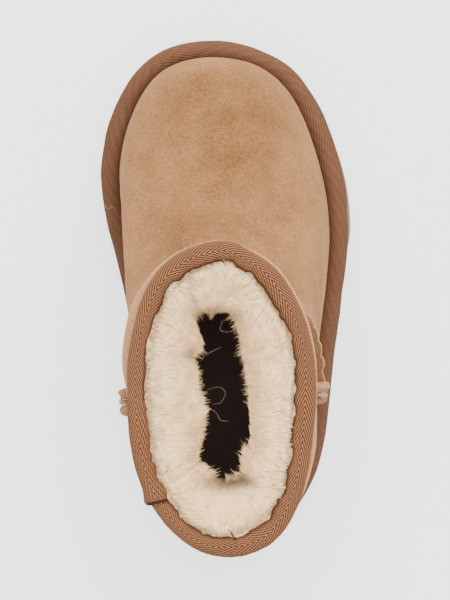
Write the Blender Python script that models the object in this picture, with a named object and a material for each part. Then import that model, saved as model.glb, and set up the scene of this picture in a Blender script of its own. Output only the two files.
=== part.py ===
"""A toddler's right snow boot in suede-faced sheepskin, built as the real one is put together.

The boot stands on the floor with its toe along +Y, its lateral (outer) side along +X and +Z up.
The origin is on the floor, under the middle of the whole boot. Lengths are in metres.
"""

import math

import bmesh
import bpy
import numpy as np

MM = 0.001

# Driving dimensions
SOLE_LENGTH = 172 * MM
SOLE_WIDTH = 84.2 * MM
COLLAR_LENGTH = 100.8 * MM
COLLAR_WIDTH = 60.3 * MM
COLLAR_CENTRE = (-1.8 * MM, -33.9 * MM)
COLLAR_TOP_FRONT = 104 * MM
COLLAR_TOP_BACK = 109 * MM
GAP = 0.3 * MM
LINING_GAP = 0.6 * MM

# Sole stack, from the floor up
OUTSOLE_TOP = 6.5 * MM
OUTSOLE_FLANGE = 0.7 * MM
OUTSOLE_CHAMFER = 0.5 * MM
TREAD_EDGE = 1.2 * MM  # bevel round the tread, in and up
LUG_DEPTH = 2.4 * MM
GROOVE_WIDTH = 2.6 * MM
GROOVE_PITCH = 11 * MM
ZIGZAG_HEIGHT = 3.0 * MM
ZIGZAG_LENGTH = 20 * MM
ARCH_RELIEF = 1.8 * MM
ARCH_BACK = -32 * MM
ARCH_FRONT = -5 * MM
ARCH_SLOPE = 4 * MM
MIDSOLE_TOP = 20.7 * MM
MIDSOLE_SHELF = 12.3 * MM
MIDSOLE_REBATE = 2.5 * MM
MIDSOLE_RIB = 0.7 * MM
TOE_SPRING = 5 * MM
TOE_SPRING_START = 38 * MM
HEEL_BEVEL = 1.2 * MM
HEEL_BEVEL_START = -66 * MM
TOE_CUTS = 6  # cuts across the sole where it bends
HEEL_CUTS = 2

# Upper, lining and binding
FEATHER_INSET = 8.0 * MM
WALL = 2.2 * MM
LASTING_MARGIN = 5.0 * MM
TAPE = 0.9 * MM
BOUND_FLEECE = 2.0 * MM
BINDING_DEPTH = 9.5 * MM
BINDING_INSIDE = 0.9  # depth of its inner leg, as a share of the outer one
BINDING_CREST = 1.45 * MM  # above the upper's edge
BINDING_SHOULDER = 0.8 * MM
BINDING_TURN = 1.5 * MM  # below the edge, where the fold starts
BINDING_ROUND = 1.1 * MM
FLEECE = 7.5 * MM
SEAM_GAP = 0.52 * MM
SIDE_SEAM_WIDTH = 6.5 * MM
SIDE_SEAM_HEIGHT = 3.3 * MM
SIDE_SEAM_FOOT = 0.62  # levels of its ends
SIDE_SEAM_TOP = 4.62
VAMP_SEAM_WIDTH = 5.5 * MM
VAMP_SEAM_HEIGHT = 1.9 * MM
VAMP_SEAM_LEVEL = 4.72
SEAM_APART = 0.16  # stations between a side seam and the vamp seam's end
SIDE_SEAM_ROWS = 11
VAMP_SEAM_ROWS = 21
COUNTER = 1.3 * MM
COUNTER_HALF = 2.35  # stations to each side of the heel's back
COUNTER_TOP = 3.05  # its levels at foot and top, and how far its top bows down
COUNTER_FOOT = 0.62
COUNTER_BOW = 1.35
COUNTER_SKIVE = 0.6  # share of its thickness along the top and bottom edges
COUNTER_STEPS = 15
COUNTER_ROWS = 5
LAP_END = 5.75  # stations between which the collar tape lies double
LAP_START = 6.5
LAP_THICKNESS = 0.8 * MM

AROUND = 48  # steps round the boot, three to a station

# The boot is sixteen meridians, each running from the sole up to the collar. They go
# anticlockwise seen from above, from the toe round the medial side to the heel and back.
# sole_x, sole_y: where it leaves the sole's outline, in half widths and half lengths.
# collar_x, collar_y: where it ends on the collar's outline, in the collar's halves.
# bulge: how far the wall swells beyond the feather line, in mm.
# The three _in columns are shares of the way from feather line to collar, seen from above,
# and the _z columns the heights there in mm. rim: swell of the shaft under the binding.
COLUMNS = (
    "sole_x sole_y collar_x collar_y bulge"
    " shoulder_in shoulder_z vamp_in vamp_z throat_in throat_z rim"
).split()
STATIONS = {
    "toe_tip": (-0.10, 1.000, 0.00, 1.000, 1.6, 0.07, 45, 0.30, 56, 0.95, 80, -1.6),
    "big_toe": (-0.68, 0.902, -0.46, 0.908, 1.6, 0.07, 44, 0.30, 54, 0.94, 79, -1.2),
    "joint_medial": (-0.97, 0.613, -0.75, 0.732, 1.6, 0.09, 44, 0.34, 55, 0.92, 78, 0.2),
    "ball_medial": (-0.98, 0.333, -0.90, 0.538, 1.8, 0.12, 45, 0.40, 59, 0.86, 78, 1.4),
    "arch": (-0.82, -0.012, -0.99, 0.282, 3.0, 0.20, 47, 0.45, 63, 0.75, 80, 0.9),
    "side_medial": (-0.75, -0.369, -0.99, -0.004, 3.6, 0.25, 48, 0.50, 65, 0.75, 82, 0.6),
    "heel_medial": (-0.71, -0.714, -0.84, -0.515, 2.6, 0.25, 48, 0.50, 65, 0.75, 82, 0.3),
    "back_medial": (-0.36, -0.964, -0.36, -0.900, 2.0, 0.25, 48, 0.50, 65, 0.75, 83, 0.0),
    "heel_back": (0.04, -1.000, 0.14, -1.000, 2.0, 0.25, 48, 0.50, 65, 0.75, 84, 0.2),
    "back_lateral": (0.43, -0.943, 0.55, -0.867, 2.0, 0.25, 48, 0.50, 65, 0.75, 83, 1.2),
    "heel_lateral": (0.74, -0.714, 0.87, -0.526, 2.4, 0.25, 48, 0.50, 65, 0.75, 82, 2.0),
    "side_lateral": (0.85, -0.369, 0.99, -0.004, 2.6, 0.24, 48, 0.50, 65, 0.75, 82, 1.6),
    "waist_lateral": (0.94, -0.024, 0.96, 0.323, 2.2, 0.14, 46, 0.42, 61, 0.78, 80, 1.0),
    "ball_lateral": (1.00, 0.310, 0.83, 0.577, 1.2, 0.10, 44, 0.36, 57, 0.88, 78, 0.2),
    "little_toe": (0.84, 0.645, 0.58, 0.818, 1.0, 0.08, 43, 0.31, 54, 0.93, 78, -0.8),
    "toe_lateral": (0.49, 0.907, 0.29, 0.951, 1.4, 0.07, 44, 0.30, 55, 0.95, 80, -1.4),
}
NAMES = list(STATIONS)
SIDE_MEDIAL = NAMES.index("side_medial")
SIDE_LATERAL = NAMES.index("side_lateral")
HEEL_BACK = NAMES.index("heel_back")
FULL_TURN = len(NAMES)

# The levels of a meridian: a level's number is its place along the meridian.
FEATHER, BULGE, SHOULDER, VAMP, THROAT, RIM, EDGE = range(7)
BULGE_SHARE = 0.35  # height of the widest point, from feather line to shoulder
SWELL_AT = (0, 1, 0.8, 0.4, 0, 0, 0)  # share of the bulge at each level
SPRING_AT = (1, 1, 0.8, 0.5, 0.1, 0, 0)  # share of the toe spring at each level
RIM_BELOW_TOP = 13 * MM

# The rand's outer face, from its foot over the top to the feather line: mm out from the
# sole's outline, and mm up from the foot.
RAND_FACE = (
    (-0.3, 0.0),
    (0.1, 3.0),
    (0.0, 7.0),
    (-1.3, 10.8),
    (-3.4, 12.3),
    (-5.9, 11.3),
    (-7.6, 8.4),
)

# Rows across the pile's top: mm in from the binding and mm down from the collar's edge, then
# the share of the way to the slot and mm down from the pile's crest.
PILE_BY_BINDING = ((0.0, 9.2), (0.6, 6.0), (2.2, 4.4))
PILE_TO_SLOT = ((0, 0), (0.25, 0.4), (0.5, 2.4), (0.75, 7), (0.92, 13), (1, 21))
PILE_THROAT_Z = 66 * MM
PILE_THROAT_IN = 0.8  # its place there, from the shaft's face (0) to the slot (1)
# Rings of locks on the pile's top: how many, where each starts and ends on the way in, and
# its half width.
LOCK_RINGS = ((17, 0.02, 0.64, 3.8 * MM), (11, 0.45, 0.96, 3.4 * MM))
LOCK_STEPS = (0, 0.4, 1)  # places along a lock, root to tip
LOCK_TAPER = (0.5, 1, 0.15)  # share of its half width there
LOCK_SWELL = (0.4, 1, 0.35)  # share of its height there
LOCK_HEIGHT = 3.4 * MM
LOCK_ROOT = 2.0 * MM
LOCK_SWAY = 0.3  # stations to either side
LOCK_SEED = 8

# The slot that the pile leaves open inside the shaft, seen from above.
SLOT_CENTRE = (-1.2 * MM, -32.5 * MM)
SLOT_LENGTH = 52 * MM
SLOT_WIDTH = 14.5 * MM
SLOT_TURN = math.radians(6)
SLOT_SQUARENESS = 2.6


# ---------------------------------------------------------------- curves


def around(values, u):
    """The closed cubic spline through the rows of values, one row to a whole number of u."""
    values = np.asarray(values, float)
    count = len(values)
    ahead, behind = np.roll(values, -1, 0), np.roll(values, 1, 0)
    one = np.eye(count)
    links = 4 * one + np.roll(one, 1, 1) + np.roll(one, -1, 1)
    bend = np.linalg.solve(links, 6 * (ahead - 2 * values + behind))
    u = np.asarray(u, float) % count
    low = np.floor(u).astype(int) % count
    high = (low + 1) % count
    s = (u - np.floor(u))[:, None]
    r = 1 - s
    straight = r * values[low] + s * values[high]
    return straight + ((r**3 - r) * bend[low] + (s**3 - s) * bend[high]) / 6


def along(points, t):
    """A smooth curve up each column of points (level, n, 3), read at that column's own t.

    Each stretch is a cubic whose slopes come from the chords on both sides of a point."""
    chord = np.linalg.norm(np.diff(points, axis=0), axis=2)[..., None] + 1e-9
    slope = np.diff(points, axis=0) / chord
    inner = (slope[:-1] * chord[1:] + slope[1:] * chord[:-1]) / (chord[:-1] + chord[1:])
    tangent = np.concatenate([slope[:1], inner, slope[-1:]])
    t = np.clip(t, 0, len(points) - 1)
    low = np.minimum(t.astype(int), len(points) - 2)
    s = (t - low)[:, None]
    n = np.arange(points.shape[1])
    start, end, d = points[low, n], points[low + 1, n], chord[low, n]
    return (
        (2 * s**3 - 3 * s**2 + 1) * start
        + (s**3 - 2 * s**2 + s) * d * tangent[low, n]
        + (3 * s**2 - 2 * s**3) * end
        + (s**3 - s**2) * d * tangent[low + 1, n]
    )


def column(name, u):
    """One column of the stations' table, read at u."""
    place = COLUMNS.index(name)
    return around([[row[place]] for row in STATIONS.values()], u)[:, 0]


def outward(path):
    """The outward normal, in plan, of a closed curve given as a function of u."""

    def at(u):
        step = 0.01
        run = path(u + step) - path(u - step)
        normal = np.stack([run[:, 1], -run[:, 0]], 1)
        return normal / np.linalg.norm(normal, axis=1)[:, None]

    return at


def sole_line(u):
    return np.stack(
        [
            column("sole_x", u) * SOLE_WIDTH / 2,
            column("sole_y", u) * SOLE_LENGTH / 2,
        ],
        1,
    )


def collar_line(u):
    return np.stack(
        [
            COLLAR_CENTRE[0] + column("collar_x", u) * COLLAR_WIDTH / 2,
            COLLAR_CENTRE[1] + column("collar_y", u) * COLLAR_LENGTH / 2,
        ],
        1,
    )


def sole_outline(u, out=0.0):
    """The sole's outline moved out (or, below zero, in) by that much."""
    return sole_line(u) + outward(sole_line)(u) * np.reshape(out, (-1, 1))


def slot_outline(u):
    """The rounded slot between the pile's walls, with each point facing its station."""
    towards = collar_line(u) - np.array(SLOT_CENTRE)
    towards = towards @ turn(-SLOT_TURN).T
    half = np.array([SLOT_WIDTH / 2, SLOT_LENGTH / 2])
    share = towards / half
    reach = (np.abs(share) ** SLOT_SQUARENESS).sum(1) ** (1 / SLOT_SQUARENESS)
    return np.array(SLOT_CENTRE) + (towards / reach[:, None]) @ turn(SLOT_TURN).T


def turn(angle):
    c, s = math.cos(angle), math.sin(angle)
    return np.array([[c, -s], [s, c]])


def rise(y):
    """How far the sole's bottom lifts off the floor: toe spring and a bevelled heel."""
    toe_run = SOLE_LENGTH / 2 - TOE_SPRING_START
    heel_run = SOLE_LENGTH / 2 + HEEL_BEVEL_START
    toe = np.clip((y - TOE_SPRING_START) / toe_run, 0, None) ** 2
    heel = np.clip((HEEL_BEVEL_START - y) / heel_run, 0, None) ** 2
    return TOE_SPRING * toe + HEEL_BEVEL * heel


def collar_top(u):
    """Height of the binding's crest, which climbs evenly from front to back."""
    share = (column("collar_y", u) + 1) / 2
    return COLLAR_TOP_BACK + (COLLAR_TOP_FRONT - COLLAR_TOP_BACK) * share


# ---------------------------------------------------------------- the last's surface


def raised(plan, z):
    return np.concatenate([plan, np.reshape(z, (-1, 1))], 1)


def levels(u):
    """The seven control points of each meridian, as (level, n, 3)."""
    feather = sole_outline(u, -FEATHER_INSET)
    out = outward(sole_line)(u)
    edge_out = outward(collar_line)(u)
    edge = collar_line(u) - edge_out * (TAPE + GAP)
    base = MIDSOLE_TOP + GAP
    shoulder_z = column("shoulder_z", u) * MM
    top = collar_top(u) - TAPE - GAP
    heights = (
        base,
        base + BULGE_SHARE * (shoulder_z - base),
        shoulder_z,
        column("vamp_z", u) * MM,
        column("throat_z", u) * MM,
        top - RIM_BELOW_TOP,
        top,
    )
    none, all_in = 0 * u, 0 * u + 1
    ways_in = (
        none,
        none,
        column("shoulder_in", u),
        column("vamp_in", u),
        column("throat_in", u),
        all_in,
        all_in,
    )
    lift = rise(feather[:, 1])
    rows = []
    for level, (z, way_in) in enumerate(zip(heights, ways_in)):
        plan = feather + (edge - feather) * way_in[:, None]
        plan = plan + out * (column("bulge", u) * MM * SWELL_AT[level])[:, None]
        if level == RIM:
            plan = plan + edge_out * (column("rim", u) * MM)[:, None]
        rows.append(raised(plan, z + lift * SPRING_AT[level]))
    return np.stack(rows)


def last(u, t, out=0.0):
    """The boot's outer surface at stations u and levels t, moved out by that much.

    u, t and out are numbers or arrays of shapes that go together."""
    u, t, out = np.broadcast_arrays(u, t, out)
    shape = u.shape
    u, t, out = u.ravel().astype(float), t.ravel().astype(float), out.reshape(-1, 1)
    step = 0.04
    across = along(levels(u + step), t) - along(levels(u - step), t)
    up = along(levels(u), t + step) - along(levels(u), t - step)
    normal = np.cross(across, up)
    normal /= np.linalg.norm(normal, axis=1)[:, None]
    return (along(levels(u), t) + normal * out).reshape(*shape, 3)


def rows_of(u, t, out=0.0):
    """Rows round the whole boot, one to each level in t."""
    return last(np.asarray(u)[None], np.asarray(t, float)[:, None], out)


def by_rim(u, out, up):
    """A row beside the collar's edge: out from the surface, and up, or down along it."""
    row = last(u, EDGE + np.minimum(up, 0) / RIM_BELOW_TOP, out)
    row[..., 2] += np.maximum(up, 0)
    return row


# ---------------------------------------------------------------- solids


def material(name, colour, roughness):
    made = bpy.data.materials.new(name)
    made.use_nodes = True
    shader = made.node_tree.nodes["Principled BSDF"]
    shader.inputs["Base Color"].default_value = (*colour, 1)
    shader.inputs["Roughness"].default_value = roughness
    shader.inputs["Metallic"].default_value = 0
    made.diffuse_color = (*colour, 1)
    return made


def add_object(name, mesh, finish, collection):
    mesh.materials.clear()
    mesh.materials.append(finish)
    mesh.shade_smooth()
    mesh.set_sharp_from_angle(angle=math.radians(40))
    made = bpy.data.objects.new(name, mesh)
    collection.objects.link(made)
    return made


def mesh_from(name, points, faces):
    mesh = bpy.data.meshes.new(name)
    mesh.from_pydata([tuple(p) for p in points], [], faces)
    form = bmesh.new()
    form.from_mesh(mesh)
    bmesh.ops.recalc_face_normals(form, faces=form.faces)
    form.to_mesh(mesh)
    form.free()
    return mesh


def loft(name, rows, ring=True, tube=True):
    """A skin over rows of points (row, column, 3).

    ring: the columns close on each other. tube: the last row closes on the first.
    Open ends are closed with one face each."""
    rows = np.asarray(rows)
    count, width = rows.shape[:2]
    faces = []
    for r in range(count if tube else count - 1):
        for c in range(width if ring else width - 1):
            r2, c2 = (r + 1) % count, (c + 1) % width
            faces.append((r * width + c, r * width + c2, r2 * width + c2, r2 * width + c))
    if not tube:
        faces.append(tuple(range(width)))
        faces.append(tuple((count - 1) * width + c for c in range(width)))
    if not ring:
        faces.append(tuple(r * width for r in range(count)))
        faces.append(tuple(r * width + width - 1 for r in range(count)))
    return mesh_from(name, rows.reshape(-1, 3), faces)


def sole_slab(name, profile, u):
    """A sole layer: its side is profile, rows of (out, z), and its ends are flat."""
    rows = [raised(sole_outline(u, out), np.full(len(u), z)) for out, z in profile]
    return loft(name, rows, tube=False)


def spring_up(mesh):
    """Cuts the mesh across where the sole bends, and lifts each point by rise(y)."""
    form = bmesh.new()
    form.from_mesh(mesh)
    toe_cuts = np.linspace(TOE_SPRING_START, SOLE_LENGTH / 2, TOE_CUTS + 1)[:-1]
    heel_cuts = np.linspace(HEEL_BEVEL_START, -SOLE_LENGTH / 2, HEEL_CUTS + 1)[:-1]
    for y in (*toe_cuts, *heel_cuts):
        bmesh.ops.bisect_plane(
            form,
            geom=form.verts[:] + form.edges[:] + form.faces[:],
            plane_co=(0, y, 0),
            plane_no=(0, 1, 0),
            dist=0.01 * MM,
        )
    for point in form.verts:
        point.co.z += float(rise(np.array(point.co.y)))
    form.to_mesh(mesh)
    form.free()
    return mesh


def joined(name, meshes, collection):
    """A hidden helper object that holds all these meshes."""
    form = bmesh.new()
    for mesh in meshes:
        form.from_mesh(mesh)
        bpy.data.meshes.remove(mesh)
    whole = bpy.data.meshes.new(name)
    form.to_mesh(whole)
    form.free()
    helper = bpy.data.objects.new(name, whole)
    collection.objects.link(helper)
    helper.hide_render = True
    helper.display_type = "WIRE"
    return helper


def boolean(made, helper, operation):
    step = made.modifiers.new(helper.name, "BOOLEAN")
    step.operation = operation
    step.solver = "EXACT"
    step.use_self = True
    step.object = helper


def baked(made):
    """The object's mesh with its modifiers applied, as a new mesh."""
    graph = bpy.context.evaluated_depsgraph_get()
    return bpy.data.meshes.new_from_object(made.evaluated_get(graph))


# ---------------------------------------------------------------- the sole


def zigzag(x):
    phase = (x / ZIGZAG_LENGTH) % 1
    return ZIGZAG_HEIGHT * (1 - abs(2 * phase - 1) * 2) / 2


def tread_cutters(collection):
    """Zigzag grooves under forefoot and heel, and the relief under the arch."""
    reach = SOLE_WIDTH / 2 + ZIGZAG_LENGTH
    xs = np.arange(-reach, reach, ZIGZAG_LENGTH / 2)
    forefoot = np.arange(ARCH_FRONT + GROOVE_PITCH, SOLE_LENGTH / 2, GROOVE_PITCH)
    heel = np.arange(ARCH_BACK - GROOVE_PITCH, -SOLE_LENGTH / 2, -GROOVE_PITCH)
    made = []
    for y in (*forefoot, *heel):
        line = [(x, y + zigzag(x) + GROOVE_WIDTH / 2) for x in xs]
        line += [(x, y + zigzag(x) - GROOVE_WIDTH / 2) for x in xs[::-1]]
        low = [(*p, -1 * MM) for p in line]
        high = [(*p, LUG_DEPTH) for p in line]
        made.append(loft("groove", np.array([low, high]), tube=False))
    side = [
        (ARCH_BACK, -1 * MM),
        (ARCH_BACK, 0),
        (ARCH_BACK + ARCH_SLOPE, ARCH_RELIEF),
        (ARCH_FRONT - ARCH_SLOPE, ARCH_RELIEF),
        (ARCH_FRONT, 0),
        (ARCH_FRONT, -1 * MM),
    ]
    ends = [[(x, y, z) for y, z in side] for x in (-reach, reach)]
    made.append(loft("arch", np.array(ends), tube=False))
    return joined("tread_cutter", made, collection)


def make_outsole(u, finish, collection, cutters):
    side = [
        (-TREAD_EDGE, 0),
        (0, TREAD_EDGE),
        (OUTSOLE_FLANGE, OUTSOLE_TOP / 2),
        (OUTSOLE_FLANGE, OUTSOLE_TOP - OUTSOLE_CHAMFER),
        (OUTSOLE_FLANGE - OUTSOLE_CHAMFER, OUTSOLE_TOP),
    ]
    blank = add_object("outsole_blank", sole_slab("outsole", side, u), finish, cutters)
    boolean(blank, tread_cutters(cutters), "DIFFERENCE")
    mesh = spring_up(baked(blank))
    bpy.data.objects.remove(blank)
    return add_object("outsole", mesh, finish, collection)


def make_midsole(u, finish, collection):
    """The foam platform: a ribbed side, and a rebate that takes the rand."""
    low = OUTSOLE_TOP + GAP
    rib = (MIDSOLE_SHELF - low) / 3
    side = [
        (0, low),
        (0, low + rib),
        (-MIDSOLE_RIB, low + 1.25 * rib),
        (-MIDSOLE_RIB, low + 1.75 * rib),
        (0, low + 2 * rib),
        (0, MIDSOLE_SHELF),
        (-MIDSOLE_REBATE, MIDSOLE_SHELF),
        (-MIDSOLE_REBATE, MIDSOLE_TOP),
    ]
    mesh = spring_up(sole_slab("midsole", side, u))
    return add_object("midsole", mesh, finish, collection)


def make_rand(u, finish, collection):
    """The padded rand: tape wrapped over the platform's edge, up to the feather line."""
    foot, seat = MIDSOLE_SHELF + GAP, MIDSOLE_TOP + GAP
    inner = -(MIDSOLE_REBATE - GAP)
    section = [(out * MM, foot + up * MM) for out, up in RAND_FACE]
    section += [(inner, seat), (inner, foot)]
    rows = []
    for out, z in section:
        plan = sole_outline(u, out)
        rows.append(raised(plan, z + rise(plan[:, 1])))
    return add_object("platform_rand", loft("rand", rows), finish, collection)


def make_insole(u, finish, collection):
    inset = -(FEATHER_INSET + WALL + LASTING_MARGIN + GAP)
    low = MIDSOLE_TOP + GAP
    side = [(inset, low), (inset, low + WALL)]
    mesh = spring_up(sole_slab("insole", side, u))
    return add_object("insole", mesh, finish, collection)


# ---------------------------------------------------------------- the upper

BOUND_LEVEL = EDGE - BINDING_DEPTH / RIM_BELOW_TOP  # where the binding's lower edge lies
WALL_LEVELS = (0, 0.35, 0.9, 1.5, 2, 2.6, 3.3, 4, 4.4, 4.8, BOUND_LEVEL, 6)
INNER_LEVELS = (0.35, 0.9, 1.7, 2.5, 3.3, 3.9, 4.4, BOUND_LEVEL, 6)
PILE_LEVELS = (3.9, 2.8, 1.4)


def make_upper(u, finish, collection):
    """One suede shell: wall, open collar, and a lasting margin turned in underneath."""
    outside = rows_of(u, WALL_LEVELS)
    inside = rows_of(u, INNER_LEVELS, -WALL)[::-1]
    base = MIDSOLE_TOP + GAP
    margin = []
    for inset, z in ((WALL, WALL), (WALL + LASTING_MARGIN, WALL), (WALL + LASTING_MARGIN, 0)):
        plan = sole_outline(u, -(FEATHER_INSET + inset))
        margin.append(raised(plan, base + z + rise(plan[:, 1])))
    rows = np.concatenate([outside, inside, margin])
    return add_object("upper", loft("upper", rows), finish, collection)


def ridge(name, u, t, du, dt, heights, finish, collection):
    """A raised seam on the upper, centred on the points (u, t).

    du and dt are its half width there in stations and in levels, and heights its height
    above the suede from one edge to the other."""
    across = np.linspace(-1, 1, len(heights))
    u, t, du, dt = (np.asarray(v, float)[:, None] for v in np.broadcast_arrays(u, t, du, dt))
    top = last(u + across * du, t + across * dt, np.asarray(heights))
    foot = last(u + across * du, t + across * dt, SEAM_GAP)[:, ::-1]
    mesh = loft(name, np.concatenate([top, foot], 1), tube=False)
    return add_object(name, mesh, finish, collection)


def two_lips(height):
    """A seam's section: two edges of suede stood up side by side."""
    return np.array((0.3, 1, 1, 0.35, 1, 1, 0.3)) * height


def make_seams(finish, collection):
    """Two side seams from the rand to the binding, and one across the front of the shaft."""
    for name, station in (("medial", SIDE_MEDIAL), ("lateral", SIDE_LATERAL)):
        t = np.linspace(SIDE_SEAM_FOOT, SIDE_SEAM_TOP, SIDE_SEAM_ROWS)
        low, high = last(np.array([station - 0.5, station + 0.5]), VAMP)
        half = SIDE_SEAM_WIDTH / 2 / np.linalg.norm(high - low)
        lips = two_lips(SIDE_SEAM_HEIGHT)
        ridge(f"side_seam_{name}", station, t, half, 0, lips, finish, collection)
    ends = SIDE_LATERAL + SEAM_APART, FULL_TURN + SIDE_MEDIAL - SEAM_APART
    u = np.linspace(*ends, VAMP_SEAM_ROWS)
    low, high = last(u, VAMP_SEAM_LEVEL - 0.1), last(u, VAMP_SEAM_LEVEL + 0.1)
    half = VAMP_SEAM_WIDTH / 2 * 0.2 / np.linalg.norm(high - low, axis=1)
    lips = two_lips(VAMP_SEAM_HEIGHT)
    ridge("vamp_seam", u, VAMP_SEAM_LEVEL, 0, half, lips, finish, collection)


def make_counter(finish, collection):
    """The heel counter: a patch with a bowed top edge, laid on the back of the upper."""
    u = np.linspace(HEEL_BACK - COUNTER_HALF, HEEL_BACK + COUNTER_HALF, COUNTER_STEPS)
    share = np.abs(u - HEEL_BACK) / COUNTER_HALF
    top = COUNTER_TOP - COUNTER_BOW * share**2.4
    way = np.linspace(0, 1, COUNTER_ROWS)[:, None]
    t = COUNTER_FOOT + (top - COUNTER_FOOT) * way
    skived = np.where((way > 0) & (way < 1), COUNTER, COUNTER_SKIVE * COUNTER)
    rows = np.concatenate([last(u, t, skived), last(u, t, GAP)[::-1]])
    mesh = loft("heel_counter", rows, ring=False)
    return add_object("heel_counter", mesh, finish, collection)


def make_binding(u, finish, collection):
    """Tape folded over the collar's edge, with its cut end lapped at the medial back."""
    low = -BINDING_DEPTH
    inner = -(WALL + LINING_GAP + BOUND_FLEECE + GAP)
    lap = LAP_THICKNESS * lapped(u)
    skin = TAPE + GAP + lap
    section = [
        (skin, low),
        (skin, -BINDING_TURN),
        (skin - BINDING_ROUND, BINDING_SHOULDER + 0.3 * lap),
        (-0.6 * WALL, BINDING_CREST + lap),
        (inner + TAPE, BINDING_SHOULDER + 0.3 * lap),
        (inner - TAPE, -BINDING_TURN),
        (inner - TAPE, BINDING_INSIDE * low),
        (inner, BINDING_INSIDE * low),
        (inner, GAP),
        (GAP, GAP),
        (GAP, low),
    ]
    rows = [by_rim(u, out, up) for out, up in section]
    return add_object("collar_binding", loft("binding", rows), finish, collection)


def lapped(u):
    """1 where the tape's end lies over its start, 0 elsewhere."""
    return ((u > LAP_END) & (u < LAP_START)).astype(float)


# ---------------------------------------------------------------- the fleece


def pile_start(u):
    """Rows down the pile's face beside the binding, from its foot to its crest."""
    bound = -(WALL + LINING_GAP + BOUND_FLEECE + 2 * GAP + TAPE)
    return [by_rim(u, bound - in_ * MM, -drop * MM) for in_, drop in PILE_BY_BINDING]


def pile_top(u, way_in):
    """The pile's top, from its crest by the binding (way_in 0) to the slot (1)."""
    start = pile_start(u)[-1]
    fall = np.interp(way_in, *zip(*PILE_TO_SLOT)) * MM
    plan = start[:, :2] + (slot_outline(u) - start[:, :2]) * np.reshape(way_in, (-1, 1))
    return raised(plan, start[:, 2] - fall)


def pile_locks():
    """Tapered locks that lie on the pile's top and point in to the slot."""
    draw = np.random.default_rng(LOCK_SEED)
    along_lock = np.array(LOCK_STEPS)
    made = []
    for count, start, end, half in LOCK_RINGS:
        for place in range(count):
            reach = start + (end - start) * along_lock * draw.uniform(0.85, 1)
            sway = draw.uniform(-LOCK_SWAY, LOCK_SWAY) * along_lock**2
            u = (place + draw.uniform(-0.3, 0.3)) * FULL_TURN / count + sway
            middle = pile_top(u, reach)
            side = pile_top(u + 0.05, reach) - pile_top(u - 0.05, reach)
            inward = pile_top(u, reach + 0.02) - pile_top(u, reach - 0.02)
            side /= np.linalg.norm(side, axis=1)[:, None]
            out = np.cross(side, inward)
            out /= np.linalg.norm(out, axis=1)[:, None]
            width = np.array(LOCK_TAPER)[:, None] * half
            height = np.array(LOCK_SWELL)[:, None] * LOCK_HEIGHT * draw.uniform(0.7, 1)
            root = middle - out * LOCK_ROOT
            section = (root + side * width, middle + out * height, root - side * width)
            made.append(loft("lock", np.stack(section, 1), tube=False))
    return made


def fleece_inside(u):
    """The pile's free face, from its top edge down to the insole, as rows."""
    depth = WALL + LINING_GAP
    rows = pile_start(u)
    rows.extend(pile_top(u, np.full(len(u), way_in)) for way_in, _ in PILE_TO_SLOT[1:])
    foot = rows_of(u, PILE_LEVELS, -(depth + FLEECE))
    throat = foot[0][:, :2] + PILE_THROAT_IN * (slot_outline(u) - foot[0][:, :2])
    rows.append(raised(throat, np.full(len(u), PILE_THROAT_Z)))
    rows.extend(foot[1:])
    floor = sole_outline(u, -(FEATHER_INSET + depth + FLEECE))
    rows.append(raised(floor, MIDSOLE_TOP + 2 * GAP + WALL + rise(floor[:, 1])))
    return rows


def make_fleece(u, finish, collection, cutters):
    depth = WALL + LINING_GAP
    tongue = -(depth + BOUND_FLEECE)
    base = MIDSOLE_TOP + 2 * GAP + WALL
    foot = sole_outline(u, -(FEATHER_INSET + depth))
    rows = [raised(foot, base + rise(foot[:, 1]))]
    rows.extend(rows_of(u, INNER_LEVELS[1:-1], -depth))
    rows.append(by_rim(u, -depth, -2 * GAP))
    rows.append(by_rim(u, tongue, -2 * GAP))
    rows.append(by_rim(u, tongue, -BINDING_INSIDE * BINDING_DEPTH - GAP))
    rows.extend(fleece_inside(u))
    made = add_object("fleece_lining", loft("fleece", rows), finish, collection)
    boolean(made, joined("pile_locks", pile_locks(), cutters), "UNION")
    return made


# ---------------------------------------------------------------- the boot


def clear_scene():
    for old in list(bpy.data.objects):
        bpy.data.objects.remove(old, do_unlink=True)


def new_collection(name):
    made = bpy.data.collections.new(name)
    bpy.context.scene.collection.children.link(made)
    return made


def main():
    clear_scene()
    boot = new_collection("snow_boot")
    cutters = new_collection("cutters")
    suede = material("suede", (0.50, 0.27, 0.15), 0.95)
    tape = material("herringbone_tape", (0.35, 0.18, 0.10), 0.9)
    foam = material("platform_foam", (0.55, 0.38, 0.27), 0.8)
    rubber = material("outsole_rubber", (0.48, 0.32, 0.22), 0.75)
    pile = material("fleece", (0.75, 0.62, 0.48), 1.0)
    footbed = material("footbed", (0.012, 0.008, 0.007), 0.95)
    u = np.arange(AROUND) * FULL_TURN / AROUND
    make_outsole(u, rubber, boot, cutters)
    make_midsole(u, foam, boot)
    make_rand(u, tape, boot)
    make_insole(u, footbed, boot)
    make_upper(u, suede, boot)
    make_seams(suede, boot)
    make_counter(suede, boot)
    make_binding(u, tape, boot)
    make_fleece(u, pile, boot, cutters)


main()
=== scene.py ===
"""The looks of a toddler's right snow boot in suede-faced sheepskin, dressed on its solids.

The toe points along +Y, the lateral side is along +X, and the floor is at z = 0. Lengths are
in metres. u runs round the boot, one to a station, from the toe by the medial side.
"""

import math

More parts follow.
